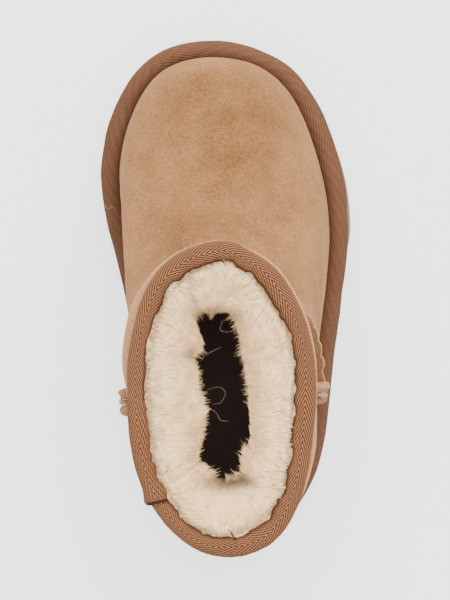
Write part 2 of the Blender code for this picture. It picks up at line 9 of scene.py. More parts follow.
import bmesh
import bpy
import numpy as np
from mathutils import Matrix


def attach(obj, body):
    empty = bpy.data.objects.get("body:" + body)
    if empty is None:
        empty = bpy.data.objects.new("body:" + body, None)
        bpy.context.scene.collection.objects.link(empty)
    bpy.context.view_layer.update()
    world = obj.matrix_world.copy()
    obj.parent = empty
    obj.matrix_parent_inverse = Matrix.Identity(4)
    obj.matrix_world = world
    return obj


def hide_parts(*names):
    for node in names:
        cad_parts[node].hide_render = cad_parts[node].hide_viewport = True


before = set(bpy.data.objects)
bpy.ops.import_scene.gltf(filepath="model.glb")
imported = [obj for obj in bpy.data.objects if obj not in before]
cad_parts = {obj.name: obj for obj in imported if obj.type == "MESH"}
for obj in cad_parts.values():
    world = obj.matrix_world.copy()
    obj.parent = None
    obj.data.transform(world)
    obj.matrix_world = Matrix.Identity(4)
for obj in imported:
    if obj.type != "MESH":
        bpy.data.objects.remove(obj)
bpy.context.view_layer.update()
MM = 0.001


# ---------------------------------------------------------------- camera, floor and light
# The boot stands on a plain pale floor under a wide soft light, and is seen from straight
# above. Materials are wired here first: a Finish holds the nodes, and a Wire is one of its
# sockets, on which sums are written as in Python.

CAMERA_HEIGHT = 994 * MM
CAMERA_BACK = -2.75 * MM
CAMERA_LENS = 168
FLOOR_SIDE = 6.0
FLOOR_GREY = (0.50, 0.50, 0.503)
FLOOR_PALE = (0.52, 0.52, 0.523)
FLOOR_GLOW = 2.83  # it keeps the boot's own shadow faint
SKY_GREY = (1.0, 1.0, 1.0)
SKY_STRENGTH = 1.5


class Wire:
    """One output of a material's nodes. Arithmetic on it adds a Math node and gives a Wire."""

    def __init__(self, finish, socket):
        self.finish = finish
        self.socket = socket

    def math(self, operation, first, second, clamp=False):
        settings = {"operation": operation, "use_clamp": clamp}
        return self.finish.node("Math", settings, {0: first, 1: second})

    def __add__(self, other):
        return self.math("ADD", self, other)

    def __sub__(self, other):
        return self.math("SUBTRACT", self, other)

    def __rsub__(self, other):
        return self.math("SUBTRACT", other, self)

    def __mul__(self, other):
        return self.math("MULTIPLY", self, other)

    __radd__ = __add__
    __rmul__ = __mul__

    def clipped(self):
        return self.math("ADD", self, 0, clamp=True)


class Finish:
    """A material in the making. node() adds any node, and coat() sets its shader."""

    def __init__(self, name):
        self.material = bpy.data.materials.new(name)
        self.material.use_nodes = True
        self.tree = self.material.node_tree
        self.shader = self.tree.nodes["Principled BSDF"]

    def put(self, socket, value):
        """Links a wire to the socket, or sets its plain value; a colour's alpha is 1."""
        if isinstance(value, Wire):
            self.tree.links.new(value.socket, socket)
        elif isinstance(value, tuple) and socket.type == "RGBA":
            socket.default_value = (*value, 1)
        else:
            socket.default_value = value

    def node(self, kind, settings=None, inputs=None, output=0):
        """Adds one node: its settings first, then its sockets' values or links."""
        made = self.tree.nodes.new("ShaderNode" + kind)
        for name, value in (settings or {}).items():
            setattr(made, name, value)
        for name, value in (inputs or {}).items():
            self.put(made.inputs[name], value)
        return Wire(self, made.outputs[output])

    def place(self):
        """The point's own place on the boot."""
        return self.node("TexCoord", output="Object")

    def coordinate(self, axis):
        """The point's own x, y or z on the boot, by the axis's number."""
        return self.node("SeparateXYZ", {}, {0: self.place()}, axis)

    def noise(self, size, detail=2.0, rough=0.5):
        """Soft noise from 0 to 1, whose lumps are about that size."""
        inputs = {"Vector": self.place(), "Scale": 1 / size}
        return self.node("TexNoise", {}, {**inputs, "Detail": detail, "Roughness": rough})

    def attribute(self, name):
        return self.node("Attribute", {"attribute_name": name}, output="Fac")

    def between(self, value, low, high):
        """0 below low, 1 above high, and a smooth step between."""
        settings = {"interpolation_type": "SMOOTHSTEP"}
        return self.node("MapRange", settings, {0: value, 1: low, 2: high, 3: 0.0, 4: 1.0})

    def mix(self, share, first, second):
        """A colour on the way from the first to the second."""
        return self.node("Mix", {"data_type": "RGBA"}, {0: share, 6: first, 7: second}, 2)

    def lit(self, colour, share):
        """The colour made lighter or darker by that factor."""
        settings = {"operation": "SCALE"}
        return self.node("VectorMath", settings, {0: colour, "Scale": share})

    def bump(self, height, depth):
        """A relief of that depth where height goes from 0 to 1."""
        return self.node("Bump", {}, {"Height": height, "Distance": depth, "Strength": 1.0})

    def coat(self, **sockets):
        """Sets the shader's sockets: base_color is Base Color, and so on."""
        named = {socket.name.lower().replace(" ", "_"): socket for socket in self.shader.inputs}
        for name, value in sockets.items():
            self.put(named[name], value)


def placed(name, data):
    """A new object in the scene, at the origin."""
    made = bpy.data.objects.new(name, data)
    bpy.context.scene.collection.objects.link(made)
    return made


lens = bpy.data.cameras.new("camera")
lens.lens = CAMERA_LENS
camera = placed("camera", lens)
camera.location = (0, CAMERA_BACK, CAMERA_HEIGHT)
bpy.context.scene.camera = camera

floor_finish = Finish("studio_floor")
floor_tone = floor_finish.noise(0.5, 1.0)
floor_shade = floor_finish.mix(floor_tone, FLOOR_GREY, FLOOR_PALE)
floor_finish.coat(
    base_color=floor_shade,
    roughness=0.9,
    emission_color=floor_shade,
    emission_strength=FLOOR_GLOW,
)
half = FLOOR_SIDE / 2
corners = [(-half, -half, 0), (half, -half, 0), (half, half, 0), (-half, half, 0)]
floor_mesh = bpy.data.meshes.new("studio_floor")
floor_mesh.from_pydata(corners, [], [(0, 1, 2, 3)])
floor_mesh.materials.append(floor_finish.material)
floor = placed("studio_floor", floor_mesh)

sky = bpy.data.worlds.new("studio")
sky.use_nodes = True
sky.node_tree.nodes["Background"].inputs["Color"].default_value = (*SKY_GREY, 1)
sky.node_tree.nodes["Background"].inputs["Strength"].default_value = SKY_STRENGTH
bpy.context.scene.world = sky

# name: place, size and power of each soft box, all aimed at the boot
SOFT_BOXES = {
    "top_box": ((0.1, 0.3, 2.2), 2.4, 95),
    "toe_box": ((0.15, 1.7, 1.5), 1.8, 70),
}
AIM = (0, 0, 0.05)
for name, (place, size, power) in SOFT_BOXES.items():
    lamp = bpy.data.lights.new(name, "AREA")
    lamp.size = size
    lamp.energy = power
    box = placed(name, lamp)
    box.location = place
    x, y, z = np.array(place) - AIM
    box.rotation_euler = (math.atan2(math.hypot(x, y), z), 0, math.atan2(x, -y))


# ---------------------------------------------------------------- outsole
# A light rubber outsole, moulded with zigzag lugs under the forefoot and the heel and a
# relief under the arch, and cemented under the midsole. The boot's lines are set here first.

SOLE_LENGTH = 172 * MM
SOLE_WIDTH = 84.2 * MM
COLLAR_LENGTH = 100.8 * MM
COLLAR_WIDTH = 60.3 * MM
COLLAR_CENTRE = (-1.8 * MM, -33.9 * MM)
COLLAR_TOP_FRONT = 104 * MM
COLLAR_TOP_BACK = 109 * MM
OUTSOLE_TOP = 6.5 * MM
OUTSOLE_FLANGE = 0.7 * MM
LATERAL_FLANGE = 1.0 * MM  # how much farther the sole stands out by the little toe
# where it does so: mm along the boot, and its share
LATERAL_SWELL = ((12, 0), (22, 1), (36, 1), (56, 0.35), (76, 0))
LATERAL_REACH = 30 * MM  # from the boot's middle to where it is full
# mm by which the padded edge stands out at each station, with most of the sole under it
FULLER = (1.0, 1.0, 0.95, 0.55, 0.2, 0, 0, 0, 0, 0.15, 0.75, 1.05, 0.95, 0.55, 1.3, 1.05)
FULLER_SOLE = 0.6  # the share of that by which the layers of the sole stand out
TREAD_EDGE = 1.2 * MM
LUG_DEPTH = 2.4 * MM
GROOVE_WIDTH = 2.6 * MM
GROOVE_PITCH = 11 * MM
ZIGZAG_HEIGHT = 3.0 * MM
ZIGZAG_LENGTH = 20 * MM
ARCH_RELIEF = 1.8 * MM
ARCH_BACK = -32 * MM
ARCH_FRONT = -5 * MM
ARCH_SLOPE = 4 * MM
CUTTER_FOOT = 1 * MM  # how far below the floor the grooves' cutters start
TOE_SPRING = 5 * MM
TOE_SPRING_START = 38 * MM
HEEL_BEVEL = 1.2 * MM
HEEL_BEVEL_START = -66 * MM
TOE_CUTS = 16  # lines on which the sole can bend
HEEL_CUTS = 8
SOLE_COLUMNS = 208
FEATHER_INSET = 8.0 * MM
FEATHER_Z = 21.0 * MM
TAPE = 0.9 * MM
GAP = 0.3 * MM
RIM_BELOW_TOP = 13 * MM

# Sixteen meridians, from the toe by the medial side and the heel: where each leaves the
# sole's outline and ends on the collar's, in their half sizes; the wall's bulge in mm; the
# share of the way in and the height in mm of its shoulder, vamp and throat; the rim's swell.
COLUMNS = (
    "sole_x sole_y collar_x collar_y bulge"
    " shoulder_in shoulder_z vamp_in vamp_z throat_in throat_z rim"
).split()
STATIONS = {
    "toe_tip": (-0.10, 1.000, 0.00, 1.000, 1.6, 0.07, 45, 0.30, 56, 0.95, 80, -1.6),
    "big_toe": (-0.68, 0.902, -0.46, 0.908, 1.6, 0.07, 44, 0.30, 54, 0.94, 79, -1.2),
    "joint_medial": (-0.97, 0.613, -0.75, 0.732, 1.6, 0.09, 44, 0.34, 55, 0.92, 78, 0.2),
    "ball_medial": (-0.98, 0.333, -0.90, 0.538, 1.8, 0.12, 45, 0.40, 59, 0.86, 78, 1.4),
    "arch": (-0.82, -0.012, -0.99, 0.282, 3.0, 0.20, 47, 0.45, 63, 0.75, 80, 0.9),
    "side_medial": (-0.75, -0.369, -0.99, -0.004, 3.6, 0.25, 48, 0.50, 65, 0.75, 82, 0.6),
    "heel_medial": (-0.71, -0.714, -0.84, -0.515, 2.6, 0.25, 48, 0.50, 65, 0.75, 82, 0.3),
    "back_medial": (-0.36, -0.964, -0.36, -0.900, 2.0, 0.25, 48, 0.50, 65, 0.75, 83, 0.0),
    "heel_back": (0.04, -1.000, 0.14, -1.000, 2.0, 0.25, 48, 0.50, 65, 0.75, 84, 0.2),
    "back_lateral": (0.43, -0.943, 0.55, -0.867, 2.0, 0.25, 48, 0.50, 65, 0.75, 83, 1.2),
    "heel_lateral": (0.74, -0.714, 0.87, -0.526, 2.4, 0.25, 48, 0.50, 65, 0.75, 82, 2.0),
    "side_lateral": (0.85, -0.369, 0.99, -0.004, 2.6, 0.24, 48, 0.50, 65, 0.75, 82, 1.6),
    "waist_lateral": (0.94, -0.024, 0.96, 0.323, 2.2, 0.14, 46, 0.42, 61, 0.78, 80, 1.0),
    "ball_lateral": (1.00, 0.310, 0.83, 0.577, 1.2, 0.10, 44, 0.36, 57, 0.88, 78, 0.2),
    "little_toe": (0.84, 0.645, 0.58, 0.818, 1.0, 0.08, 43, 0.31, 54, 0.93, 78, -0.8),
    "toe_lateral": (0.49, 0.907, 0.29, 0.951, 1.4, 0.07, 44, 0.30, 55, 0.95, 80, -1.4),
}
NAMES = list(STATIONS)
SIDE_MEDIAL = NAMES.index("side_medial")
SIDE_LATERAL = NAMES.index("side_lateral")
HEEL_BACK = NAMES.index("heel_back")
FULL_TURN = len(NAMES)


def around(values, u):
    """The closed cubic spline through values, one to a whole number of u."""
    values = np.asarray(values, float)
    count = len(values)
    ahead, behind = np.roll(values, -1), np.roll(values, 1)
    one = np.eye(count)
    links = 4 * one + np.roll(one, 1, 1) + np.roll(one, -1, 1)
    bend = np.linalg.solve(links, 6 * (ahead - 2 * values + behind))
    u = np.asarray(u, float) % count
    low = np.floor(u).astype(int) % count
    high = (low + 1) % count
    s = u - np.floor(u)
    r = 1 - s
    straight = r * values[low] + s * values[high]
    return straight + ((r**3 - r) * bend[low] + (s**3 - s) * bend[high]) / 6


def column(name, u):
    """One column of the stations' table, read at u."""
    place = COLUMNS.index(name)
    return around([row[place] for row in STATIONS.values()], u)


def unit(vectors, least=0.0):
    """The vectors made one long. least is added to a length that may be nothing."""
    return vectors / (np.linalg.norm(vectors, axis=-1, keepdims=True) + least)


def outward(path, u):
    """The outward normal, in plan, at u of a closed curve given as a function of u."""
    step = 0.01
    run = path(u + step) - path(u - step)
    return unit(np.stack([run[:, 1], -run[:, 0]], 1))


def plan_line(name, width, length, u):
    """A closed line of the stations' table, of that width and length."""
    shares = [column(f"{name}_{axis}", u) for axis in "xy"]
    return np.stack(shares, 1) * (width / 2, length / 2)


def sole_line(u):
    return plan_line("sole", SOLE_WIDTH, SOLE_LENGTH, u)


def sole_outline(u, out=0.0):
    """The sole's outline moved out (or, below zero, in) by that much."""
    return sole_line(u) + outward(sole_line, u) * np.reshape(out, (-1, 1))


def rise(y):
    """How far the sole's bottom lifts off the floor: toe spring and a bevelled heel."""
    toe_run = SOLE_LENGTH / 2 - TOE_SPRING_START
    heel_run = SOLE_LENGTH / 2 + HEEL_BEVEL_START
    toe = np.clip((y - TOE_SPRING_START) / toe_run, 0, None) ** 2
    heel = np.clip((HEEL_BEVEL_START - y) / heel_run, 0, None) ** 2
    return TOE_SPRING * toe + HEEL_BEVEL * heel


def raised(plan, z):
    """The points of a plan at height z, one for all of them or one to each."""
    return np.concatenate([plan, np.broadcast_to(np.reshape(z, (-1, 1)), (len(plan), 1))], 1)


def quads_of(rows, columns, ring=True, tube=True):
    """The quads of a grid. ring: its columns close. tube: its last row closes on the first."""
    r = np.arange(rows if tube else rows - 1)[:, None]
    c = np.arange(columns if ring else columns - 1)[None, :]
    r2, c2 = (r + 1) % rows, (c + 1) % columns
    corners = (r * columns + c, r * columns + c2, r2 * columns + c2, r2 * columns + c)
    return np.stack(corners, -1).reshape(-1, 4)


def end_caps(rows, columns):
    """The two faces that close a grid whose rows are rings: its first row and its last."""
    ring = np.arange(columns)
    return np.stack([ring[::-1], (rows - 1) * columns + ring])


def mesh_of(name, points, *faces, **attributes):
    """A closed mesh with its faces outwards. Each array of faces has rows of one length."""
    points = np.asarray(points, float).reshape(-1, 3)
    volume = 0.0
    for some in faces:
        for i in range(1, some.shape[1] - 1):
            a, b, c = points[some[:, 0]], points[some[:, i]], points[some[:, i + 1]]
            volume += (a * np.cross(b, c)).sum()
    if volume < 0:
        faces = [some[:, ::-1] for some in faces]
    loops = np.concatenate([some.ravel() for some in faces]).astype(np.int32)
    sizes = np.concatenate([np.full(len(some), some.shape[1]) for some in faces])
    starts = np.concatenate([[0], np.cumsum(sizes)[:-1]]).astype(np.int32)
    mesh = bpy.data.meshes.new(name)
    mesh.vertices.add(len(points))
    mesh.vertices.foreach_set("co", points.astype(np.float32).ravel())
    mesh.loops.add(len(loops))
    mesh.loops.foreach_set("vertex_index", loops)
    mesh.polygons.add(len(sizes))
    mesh.polygons.foreach_set("loop_start", starts)
    mesh.update(calc_edges=True)
    for title, values in attributes.items():
        layer = mesh.attributes.new(title, "FLOAT", "POINT")
        layer.data.foreach_set("value", np.asarray(values, np.float32).ravel())
    return mesh


def capped(name, rings, **attributes):
    """A closed mesh through rings of points, one after another, with a face at each end."""
    shape = np.shape(rings)[:2]
    return mesh_of(name, rings, quads_of(*shape, tube=False), end_caps(*shape), **attributes)


def piece(name, mesh, finish, slot, *stands_for):
    """Puts a finished mesh in the scene, riding on the boot in place of those solids."""
    made = placed(name, mesh)
    mesh.materials.clear()
    mesh.materials.append(finish.material)
    mesh.shade_smooth()
    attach(made, "root")
    if stands_for:
        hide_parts(*stands_for)


def ramp(x, start, over):
    """0 at start and 1 where x is past it by over, straight between and held outside."""
    return np.clip((x - start) / over, 0, 1)


def read(table, at):
    """The second column of a table of pairs, read at places in the first."""
    return np.interp(at, *np.array(table).T)


def fuller(u):
    """How much farther the boot's foot stands out at u than its solids do."""
    return around(FULLER, u) * MM


def lateral_swell(plan):
    """1 along the sole by the little toe, fading to 0 at the toe and the waist."""
    share = read(LATERAL_SWELL, plan[:, 1] / MM)
    return share * share * (3 - 2 * share) * ramp(plan[:, 0], 0, LATERAL_REACH)


def slab(name, profile, u, swell):
    """A sole layer whose side is profile, rows of (out, z), with flat ends."""
    extra = swell * lateral_swell(sole_line(u)) + FULLER_SOLE * fuller(u)
    return capped(name, [raised(sole_outline(u, out + extra), z) for out, z in profile])


def cut_away(body, cutters):
    """The first mesh with the others cut out of it by an exact Boolean."""
    cutter_mesh = bpy.data.meshes.new("cutter")
    form = bmesh.new()
    for cutter in cutters:
        form.from_mesh(cutter)
    form.to_mesh(cutter_mesh)
    form.free()
    target, helper = placed("blank", body), placed("cutter", cutter_mesh)
    step = target.modifiers.new("cut", "BOOLEAN")
    step.operation = "DIFFERENCE"
    step.solver = "EXACT"
    step.use_self = True
    step.object = helper
    graph = bpy.context.evaluated_depsgraph_get()
    result = bpy.data.meshes.new_from_object(target.evaluated_get(graph))
    for made in (target, helper):
        bpy.data.objects.remove(made)
    return result


def spring_up(mesh):
    """Cuts the mesh across where the sole bends, and lifts each point by rise(y)."""
    form = bmesh.new()
    form.from_mesh(mesh)
    toe_cuts = np.linspace(TOE_SPRING_START, SOLE_LENGTH / 2, TOE_CUTS, endpoint=False)
    heel_cuts = np.linspace(HEEL_BEVEL_START, -SOLE_LENGTH / 2, HEEL_CUTS, endpoint=False)
    for y in (*toe_cuts, *heel_cuts):
        bmesh.ops.bisect_plane(
            form,
            geom=form.verts[:] + form.edges[:] + form.faces[:],
            plane_co=(0, y, 0),
            plane_no=(0, 1, 0),
            dist=0.01 * MM,
        )
    bmesh.ops.connect_verts_concave(form, faces=form.faces[:])
    form.to_mesh(mesh)
    form.free()
    points = np.empty(len(mesh.vertices) * 3, np.float32)
    mesh.vertices.foreach_get("co", points)
    points = points.reshape(-1, 3)
    points[:, 2] += rise(points[:, 1])
    mesh.vertices.foreach_set("co", points.ravel())
    mesh.update()
    return mesh


def zigzag(x):
    """How far a groove lies ahead of its middle at x: straight runs, there and back."""
    phase = (x / ZIGZAG_LENGTH) % 1
    return ZIGZAG_HEIGHT * (1 - abs(2 * phase - 1) * 2) / 2


def tread_cutters():
    """Zigzag grooves under forefoot and heel, and the relief under the arch."""
    reach = SOLE_WIDTH / 2 + ZIGZAG_LENGTH
    xs = np.arange(-reach, reach, ZIGZAG_LENGTH / 2)
    forefoot = np.arange(ARCH_FRONT + GROOVE_PITCH, SOLE_LENGTH / 2, GROOVE_PITCH)
    heel = np.arange(ARCH_BACK - GROOVE_PITCH, -SOLE_LENGTH / 2, -GROOVE_PITCH)
    made = []
    for y in (*forefoot, *heel):
        line = [(x, y + zigzag(x) + GROOVE_WIDTH / 2) for x in xs]
        line += [(x, y + zigzag(x) - GROOVE_WIDTH / 2) for x in xs[::-1]]
        ends = [[(*point, z) for point in line] for z in (-CUTTER_FOOT, LUG_DEPTH)]
        made.append(capped("groove", ends))
    side = [
        (ARCH_BACK, -CUTTER_FOOT),
        (ARCH_BACK, 0),
        (ARCH_BACK + ARCH_SLOPE, ARCH_RELIEF),
        (ARCH_FRONT - ARCH_SLOPE, ARCH_RELIEF),
        (ARCH_FRONT, 0),
        (ARCH_FRONT, -CUTTER_FOOT),
    ]
    made.append(capped("arch", [[(x, *point) for point in side] for x in (-reach, reach)]))
    return made


OUTSOLE_SIDE = (
    (-TREAD_EDGE, 0),
    (-0.5 * TREAD_EDGE, 0.25 * TREAD_EDGE),
    (0, TREAD_EDGE),
    (0.6 * OUTSOLE_FLANGE, 2.1 * MM),
    (OUTSOLE_FLANGE, OUTSOLE_TOP / 2),
    (OUTSOLE_FLANGE, OUTSOLE_TOP - 0.9 * MM),
    (OUTSOLE_FLANGE - 0.25 * MM, OUTSOLE_TOP - 0.25 * MM),
    (OUTSOLE_FLANGE - 0.7 * MM, OUTSOLE_TOP),
)
u = np.linspace(0, FULL_TURN, SOLE_COLUMNS, endpoint=False)
tread = spring_up(cut_away(slab("outsole", OUTSOLE_SIDE, u, LATERAL_FLANGE), tread_cutters()))
rubber = Finish("outsole_rubber")
scuffs = rubber.noise(9 * MM, 4.0, 0.6)
grit = rubber.noise(0.5 * MM, 3.0, 0.7)
rubber.coat(
    base_color=rubber.mix(scuffs, (0.13, 0.085, 0.060), (0.19, 0.13, 0.095)),
    roughness=0.62 + 0.16 * grit,
    normal=rubber.bump(grit, 0.06 * MM),
)
piece("outsole_tread", tread, rubber, "outsole_rubber", "outsole")
tread.set_sharp_from_angle(angle=math.radians(35))


# ---------------------------------------------------------------- midsole
# The platform is one moulded foam block, with a rib run round its side. Its top edge is
# rebated to take the padded rand, and it is cemented to outsole and upper.

MIDSOLE_TOP = 20.7 * MM
MIDSOLE_SHELF = 12.3 * MM
MIDSOLE_REBATE = 2.5 * MM
MIDSOLE_RIB = 0.7 * MM
MIDSOLE_SIDE_ROWS = 26


def smoothed(points, places):
    """The smooth curve (Catmull-Rom) through points, or through rows of points.

    places: how many to take along it, evenly, or where, counted in the points given."""
    points = np.asarray(points, float)
    padded = np.concatenate([2 * points[:1] - points[1:2], points, 2 * points[-1:] - points[-2:-1]])
    if np.ndim(places) == 0:
        places = np.linspace(0, len(points) - 1, places)
    low = np.minimum(places.astype(int), len(points) - 2)
    s = (places - low).reshape(-1, *[1] * (points.ndim - 1))
    a, b, c, d = (padded[low + i] for i in range(4))
    return 0.5 * (
        2 * b + (c - a) * s + (2 * a - 5 * b + 4 * c - d) * s**2 + (3 * b - a - 3 * c + d) * s**3
    )


low = OUTSOLE_TOP + 0.05 * MM
rib = (MIDSOLE_SHELF - low) / 3
foam_side = [
    (-0.9 * MM, low),
    (-0.25 * MM, low + 0.15 * MM),
    (0, low + 0.5 * MM),
    (0, low + rib - 0.3 * MM),
    (-0.5 * MIDSOLE_RIB, low + rib + 0.1 * MM),
    (-MIDSOLE_RIB, low + 1.3 * rib),
    (-MIDSOLE_RIB, low + 1.7 * rib),
    (-0.5 * MIDSOLE_RIB, low + 2 * rib - 0.1 * MM),
    (0, low + 2 * rib + 0.3 * MM),
    (0, MIDSOLE_SHELF - 0.3 * MM),
    (-0.3 * MM, MIDSOLE_SHELF),
]
foam_side = [*smoothed(foam_side, MIDSOLE_SIDE_ROWS), (-MIDSOLE_REBATE, MIDSOLE_SHELF)]
foam_side += [(-MIDSOLE_REBATE, MIDSOLE_TOP), (-MIDSOLE_REBATE - 1 * MM, MIDSOLE_TOP)]
block = slab("midsole", foam_side, u, 0.7 * LATERAL_FLANGE)
foam = Finish("platform_foam")
cells = foam.noise(0.35 * MM, 2.0, 0.8)
bloom = foam.noise(14 * MM, 3.0)
foam.coat(
    base_color=foam.mix(bloom, (0.20, 0.13, 0.09), (0.27, 0.19, 0.14)),
    roughness=0.78,
    normal=foam.bump(cells, 0.05 * MM),
)
piece("midsole_foam", spring_up(block), foam, "platform_foam", "midsole")
block.set_sharp_from_angle(angle=math.radians(50))


# ---------------------------------------------------------------- footbed
# A thin dark felted sock, lying on the midsole inside the pile. It is seen only through the
# slot that the pile leaves open.

felt = Finish("footbed")
fuzz = felt.noise(0.8 * MM, 3.0, 0.7)
felt.coat(
    base_color=felt.mix(fuzz, (0.03, 0.016, 0.012), (0.06, 0.034, 0.027)),
    roughness=0.95,
    normal=felt.bump(fuzz, 0.3 * MM),
)
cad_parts["insole"].material_slots[0].material = felt.material


# ---------------------------------------------------------------- platform rand
# A padded band of herringbone tape, wrapped over the platform's edge and up to the feather
# line, where it is sewn in with the upper. Its twill runs nearly along it.

RAND_FOOT = MIDSOLE_SHELF + 0.3 * MM
# its face, from its foot over the top to the feather line: mm out and mm up from the foot
RAND_FACE = (
    (-0.5, 0.0), (0.0, 0.5), (0.1, 3.0), (0.0, 7.0),
    (-1.3, 10.8), (-3.4, 12.3), (-5.9, 11.3), (-7.5, 8.6),
)
RAND_SECTION = 400  # steps in which the face's curve is worked out
RAND_ROWS = 50
RAND_FULL = 7.5 * MM  # how far in from its foot it still stands out farther
RAND_LUMPS = 0.25 * MM
RAND_FADE = 0.8 * MM  # width at its two edges where the relief fades out
# its back, under the upper: out, and z
RAND_BACK = ((-7.5 * MM, FEATHER_Z), (-2.2 * MM, FEATHER_Z), (-2.2 * MM, RAND_FOOT))
RAND_TWILL_PITCH = 2.95 * MM  # along the tape
RAND_TWILL_ANGLE = math.radians(17)
RAND_SPINE = 9.5 * MM  # width between the lines where the twill turns back
RIB_SAMPLES = 5  # columns to a rib
RIB_HEIGHT = 0.14 * MM
RIB_MIDDLE = 0.6  # the share of a rib's height that lies at the tape's own face
BEAD = 0.64 * MM
FULL = 2048  # steps of a curve that is read by its length
TINY = 1e-12  # added to lengths that may be nothing


def mottle(points, size, seed):
    """Smooth noise from -1 to 1 at points, between random values on a grid of that size."""
    cells = np.asarray(points) / size
    low = np.floor(cells).astype(np.int64)
    s = cells - low
    s = s * s * (3 - 2 * s)
    total = 0.0
    for corner in np.ndindex(2, 2, 2):
        at = low + corner
        mixed = (at * (73856093, 19349663, 83492791)).sum(-1) + seed * 2654435761
        mixed = (mixed ^ (mixed >> 13)) * 1274126177
        value = ((mixed ^ (mixed >> 16)) & 0xFFFF) / 32767.5 - 1
        weight = np.prod(np.where(corner, s, 1 - s), axis=-1)
        total = total + value * weight
    return total


def run_along(line):
    """How far along a line of points each of them lies from the first."""
    steps = np.linalg.norm(np.diff(line, axis=0), axis=1)
    return np.concatenate([[0], np.cumsum(steps)])


def by_length(line):
    """The u of a closed line's points by length: a function of the length, and the whole."""
    u = np.linspace(0, FULL_TURN, FULL + 1)
    run = run_along(line(u))
    return (lambda length: np.interp(length % run[-1], run, u)), run[-1]


def facing(rows, ring=True):
    """The unit normals of a grid of points, from its neighbours along both ways."""
    up = np.gradient(rows, axis=0)
    if ring:
        across = np.roll(rows, -1, 1) - np.roll(rows, 1, 1)
    else:
        across = np.gradient(rows, axis=1)
    return unit(np.cross(across, up), TINY)


def sole_row(u, out, z):
    """The sole's outline moved out by that much, at height z and lifted where it bends."""
    plan = sole_outline(u, out)
    return raised(plan, z + rise(plan[:, 1]))


def two_sided(name, face, back, ring=True, **attributes):
    """A closed mesh of two grids of points: its face, and then its back the other way.

    ring: both run right round the boot. An attribute is a pair, on its face and its back."""
    rows, columns = len(face) + len(back), len(face[0])
    side = np.arange(rows)[None, :] * columns
    ends = [] if ring else [side, side[:, ::-1] + columns - 1]
    for title, pair in attributes.items():
        both = [np.broadcast_to(v, (len(grid), columns)) for v, grid in zip(pair, (face, back))]
        attributes[title] = np.concatenate(both)
    points = np.concatenate([face, back])
    return mesh_of(name, points, quads_of(rows, columns, ring), *ends, **attributes)


def lead(width, half, angle):
    """How far a herringbone's lines run ahead at that width from its spine."""
    fold = np.abs((width / half + 1) % 2 - 1)
    return -fold * half / math.tan(angle)


def twill(phase, widths):
    """The relief (0 to 1) and the groove's dark (0 to 1) of ribs, one to a unit of phase.

    A rib is a rounded ridge. The yarns that cross it under its neighbour show as beads along
    the grooves, a bead to BEAD of width, shifted from each groove to the next."""
    # the grooves' dark is painted shade between the ribs, broken by the weave's beads
    ridge = 0.5 + 0.5 * np.cos(2 * math.pi * phase)
    count = np.reshape(widths, (-1, 1)) / BEAD
    beads = 0.5 + 0.5 * np.cos(2 * math.pi * (count + 0.5 * np.floor(phase)))
    return ridge**0.7 * (0.8 + 0.2 * beads), (1 - ridge) * (0.3 + 0.7 * beads)


def tape_finish(name, light, dark, depth):
    """Woven cotton tape: lit ribs, grooves as dark as depth, and yarns that differ a little."""
    made = Finish(name)
    groove = made.attribute("groove")
    shade = made.attribute("shade")
    yarn = made.noise(0.45 * MM, 2.0, 0.7)
    worn = made.noise(8 * MM, 3.0, 0.6)
    colour = made.mix((0.25 * yarn + 0.75 * worn).clipped(), light, dark)
    # painted shade: the grooves, and the hidden back, darken toward near black
    colour = made.mix((depth * groove).clipped(), colour, (0.035, 0.012, 0.0055))
    made.coat(
        # painted shade: the shade attribute darkens the tape where shade falls on it
        base_color=made.lit(colour, (0.72 + 0.56 * yarn) * shade),
        roughness=0.95,
        normal=made.bump(yarn, 0.05 * MM),
        specular_ior_level=0.08,
    )
    return made


rand_section = smoothed(np.array(RAND_FACE) * MM, RAND_SECTION)
rand_width = run_along(rand_section)
places = np.linspace(0, rand_width[-1], RAND_ROWS)
rand_out, rand_up = (np.interp(places, rand_width, way) for way in rand_section.T)
u_of, rand_length = by_length(sole_line)
ribs = round(rand_length / RAND_TWILL_PITCH)
columns = ribs * RIB_SAMPLES
start = np.arange(columns) * rand_length / columns
rows = []
for out, up, width in zip(rand_out, rand_up, places):
    ahead = lead(rand_width[-1] - width, RAND_SPINE, RAND_TWILL_ANGLE)
    at = u_of(start - ahead)
    out = out + fuller(at) * np.clip(1 + out / RAND_FULL, 0, 1)
    rows.append(sole_row(at, out, RAND_FOOT + up))
rows = np.stack(rows)
relief, groove = twill(np.arange(columns)[None, :] / RIB_SAMPLES, places)
fade = ramp(np.minimum(places, rand_width[-1] - places), 0, RAND_FADE)[:, None]
rand_bumps = RAND_LUMPS * mottle(rows, 7 * MM, 5)
lifts = (relief - RIB_MIDDLE) * RIB_HEIGHT * fade + rand_bumps * fade
rows = rows + facing(rows) * lifts[..., None]
back = [sole_row(u_of(start), out, z) for out, z in RAND_BACK]
# painted shade: the rand darkens toward the feather line, under the upper's overhang
shade = 1 - 0.45 * ramp(places - rand_width[-1], -5 * MM, 4 * MM)[:, None]
shade = shade * (1 - 0.25 * np.sin(u_of(start) * 2 * math.pi / FULL_TURN).clip(0))  # painted shade: darker along the medial side, as if less lit
rand_mesh = two_sided("rand_tape", rows, back, groove=(groove, 0), shade=(shade, 1))
rand_tape = tape_finish("rand_tape", (0.144, 0.069, 0.0365), (0.092, 0.038, 0.019), 0.8)
piece("rand_tape", rand_mesh, rand_tape, "herringbone_tape", "platform_rand")


# ---------------------------------------------------------------- upper
# The suede face of the sheepskin: a rounded vamp and a short shaft, cut in panels that the
# raised seams join, lasted under at the feather line. The nap lies in soft clouds.

WALL = 2.2 * MM
LASTING_MARGIN = 5.0 * MM
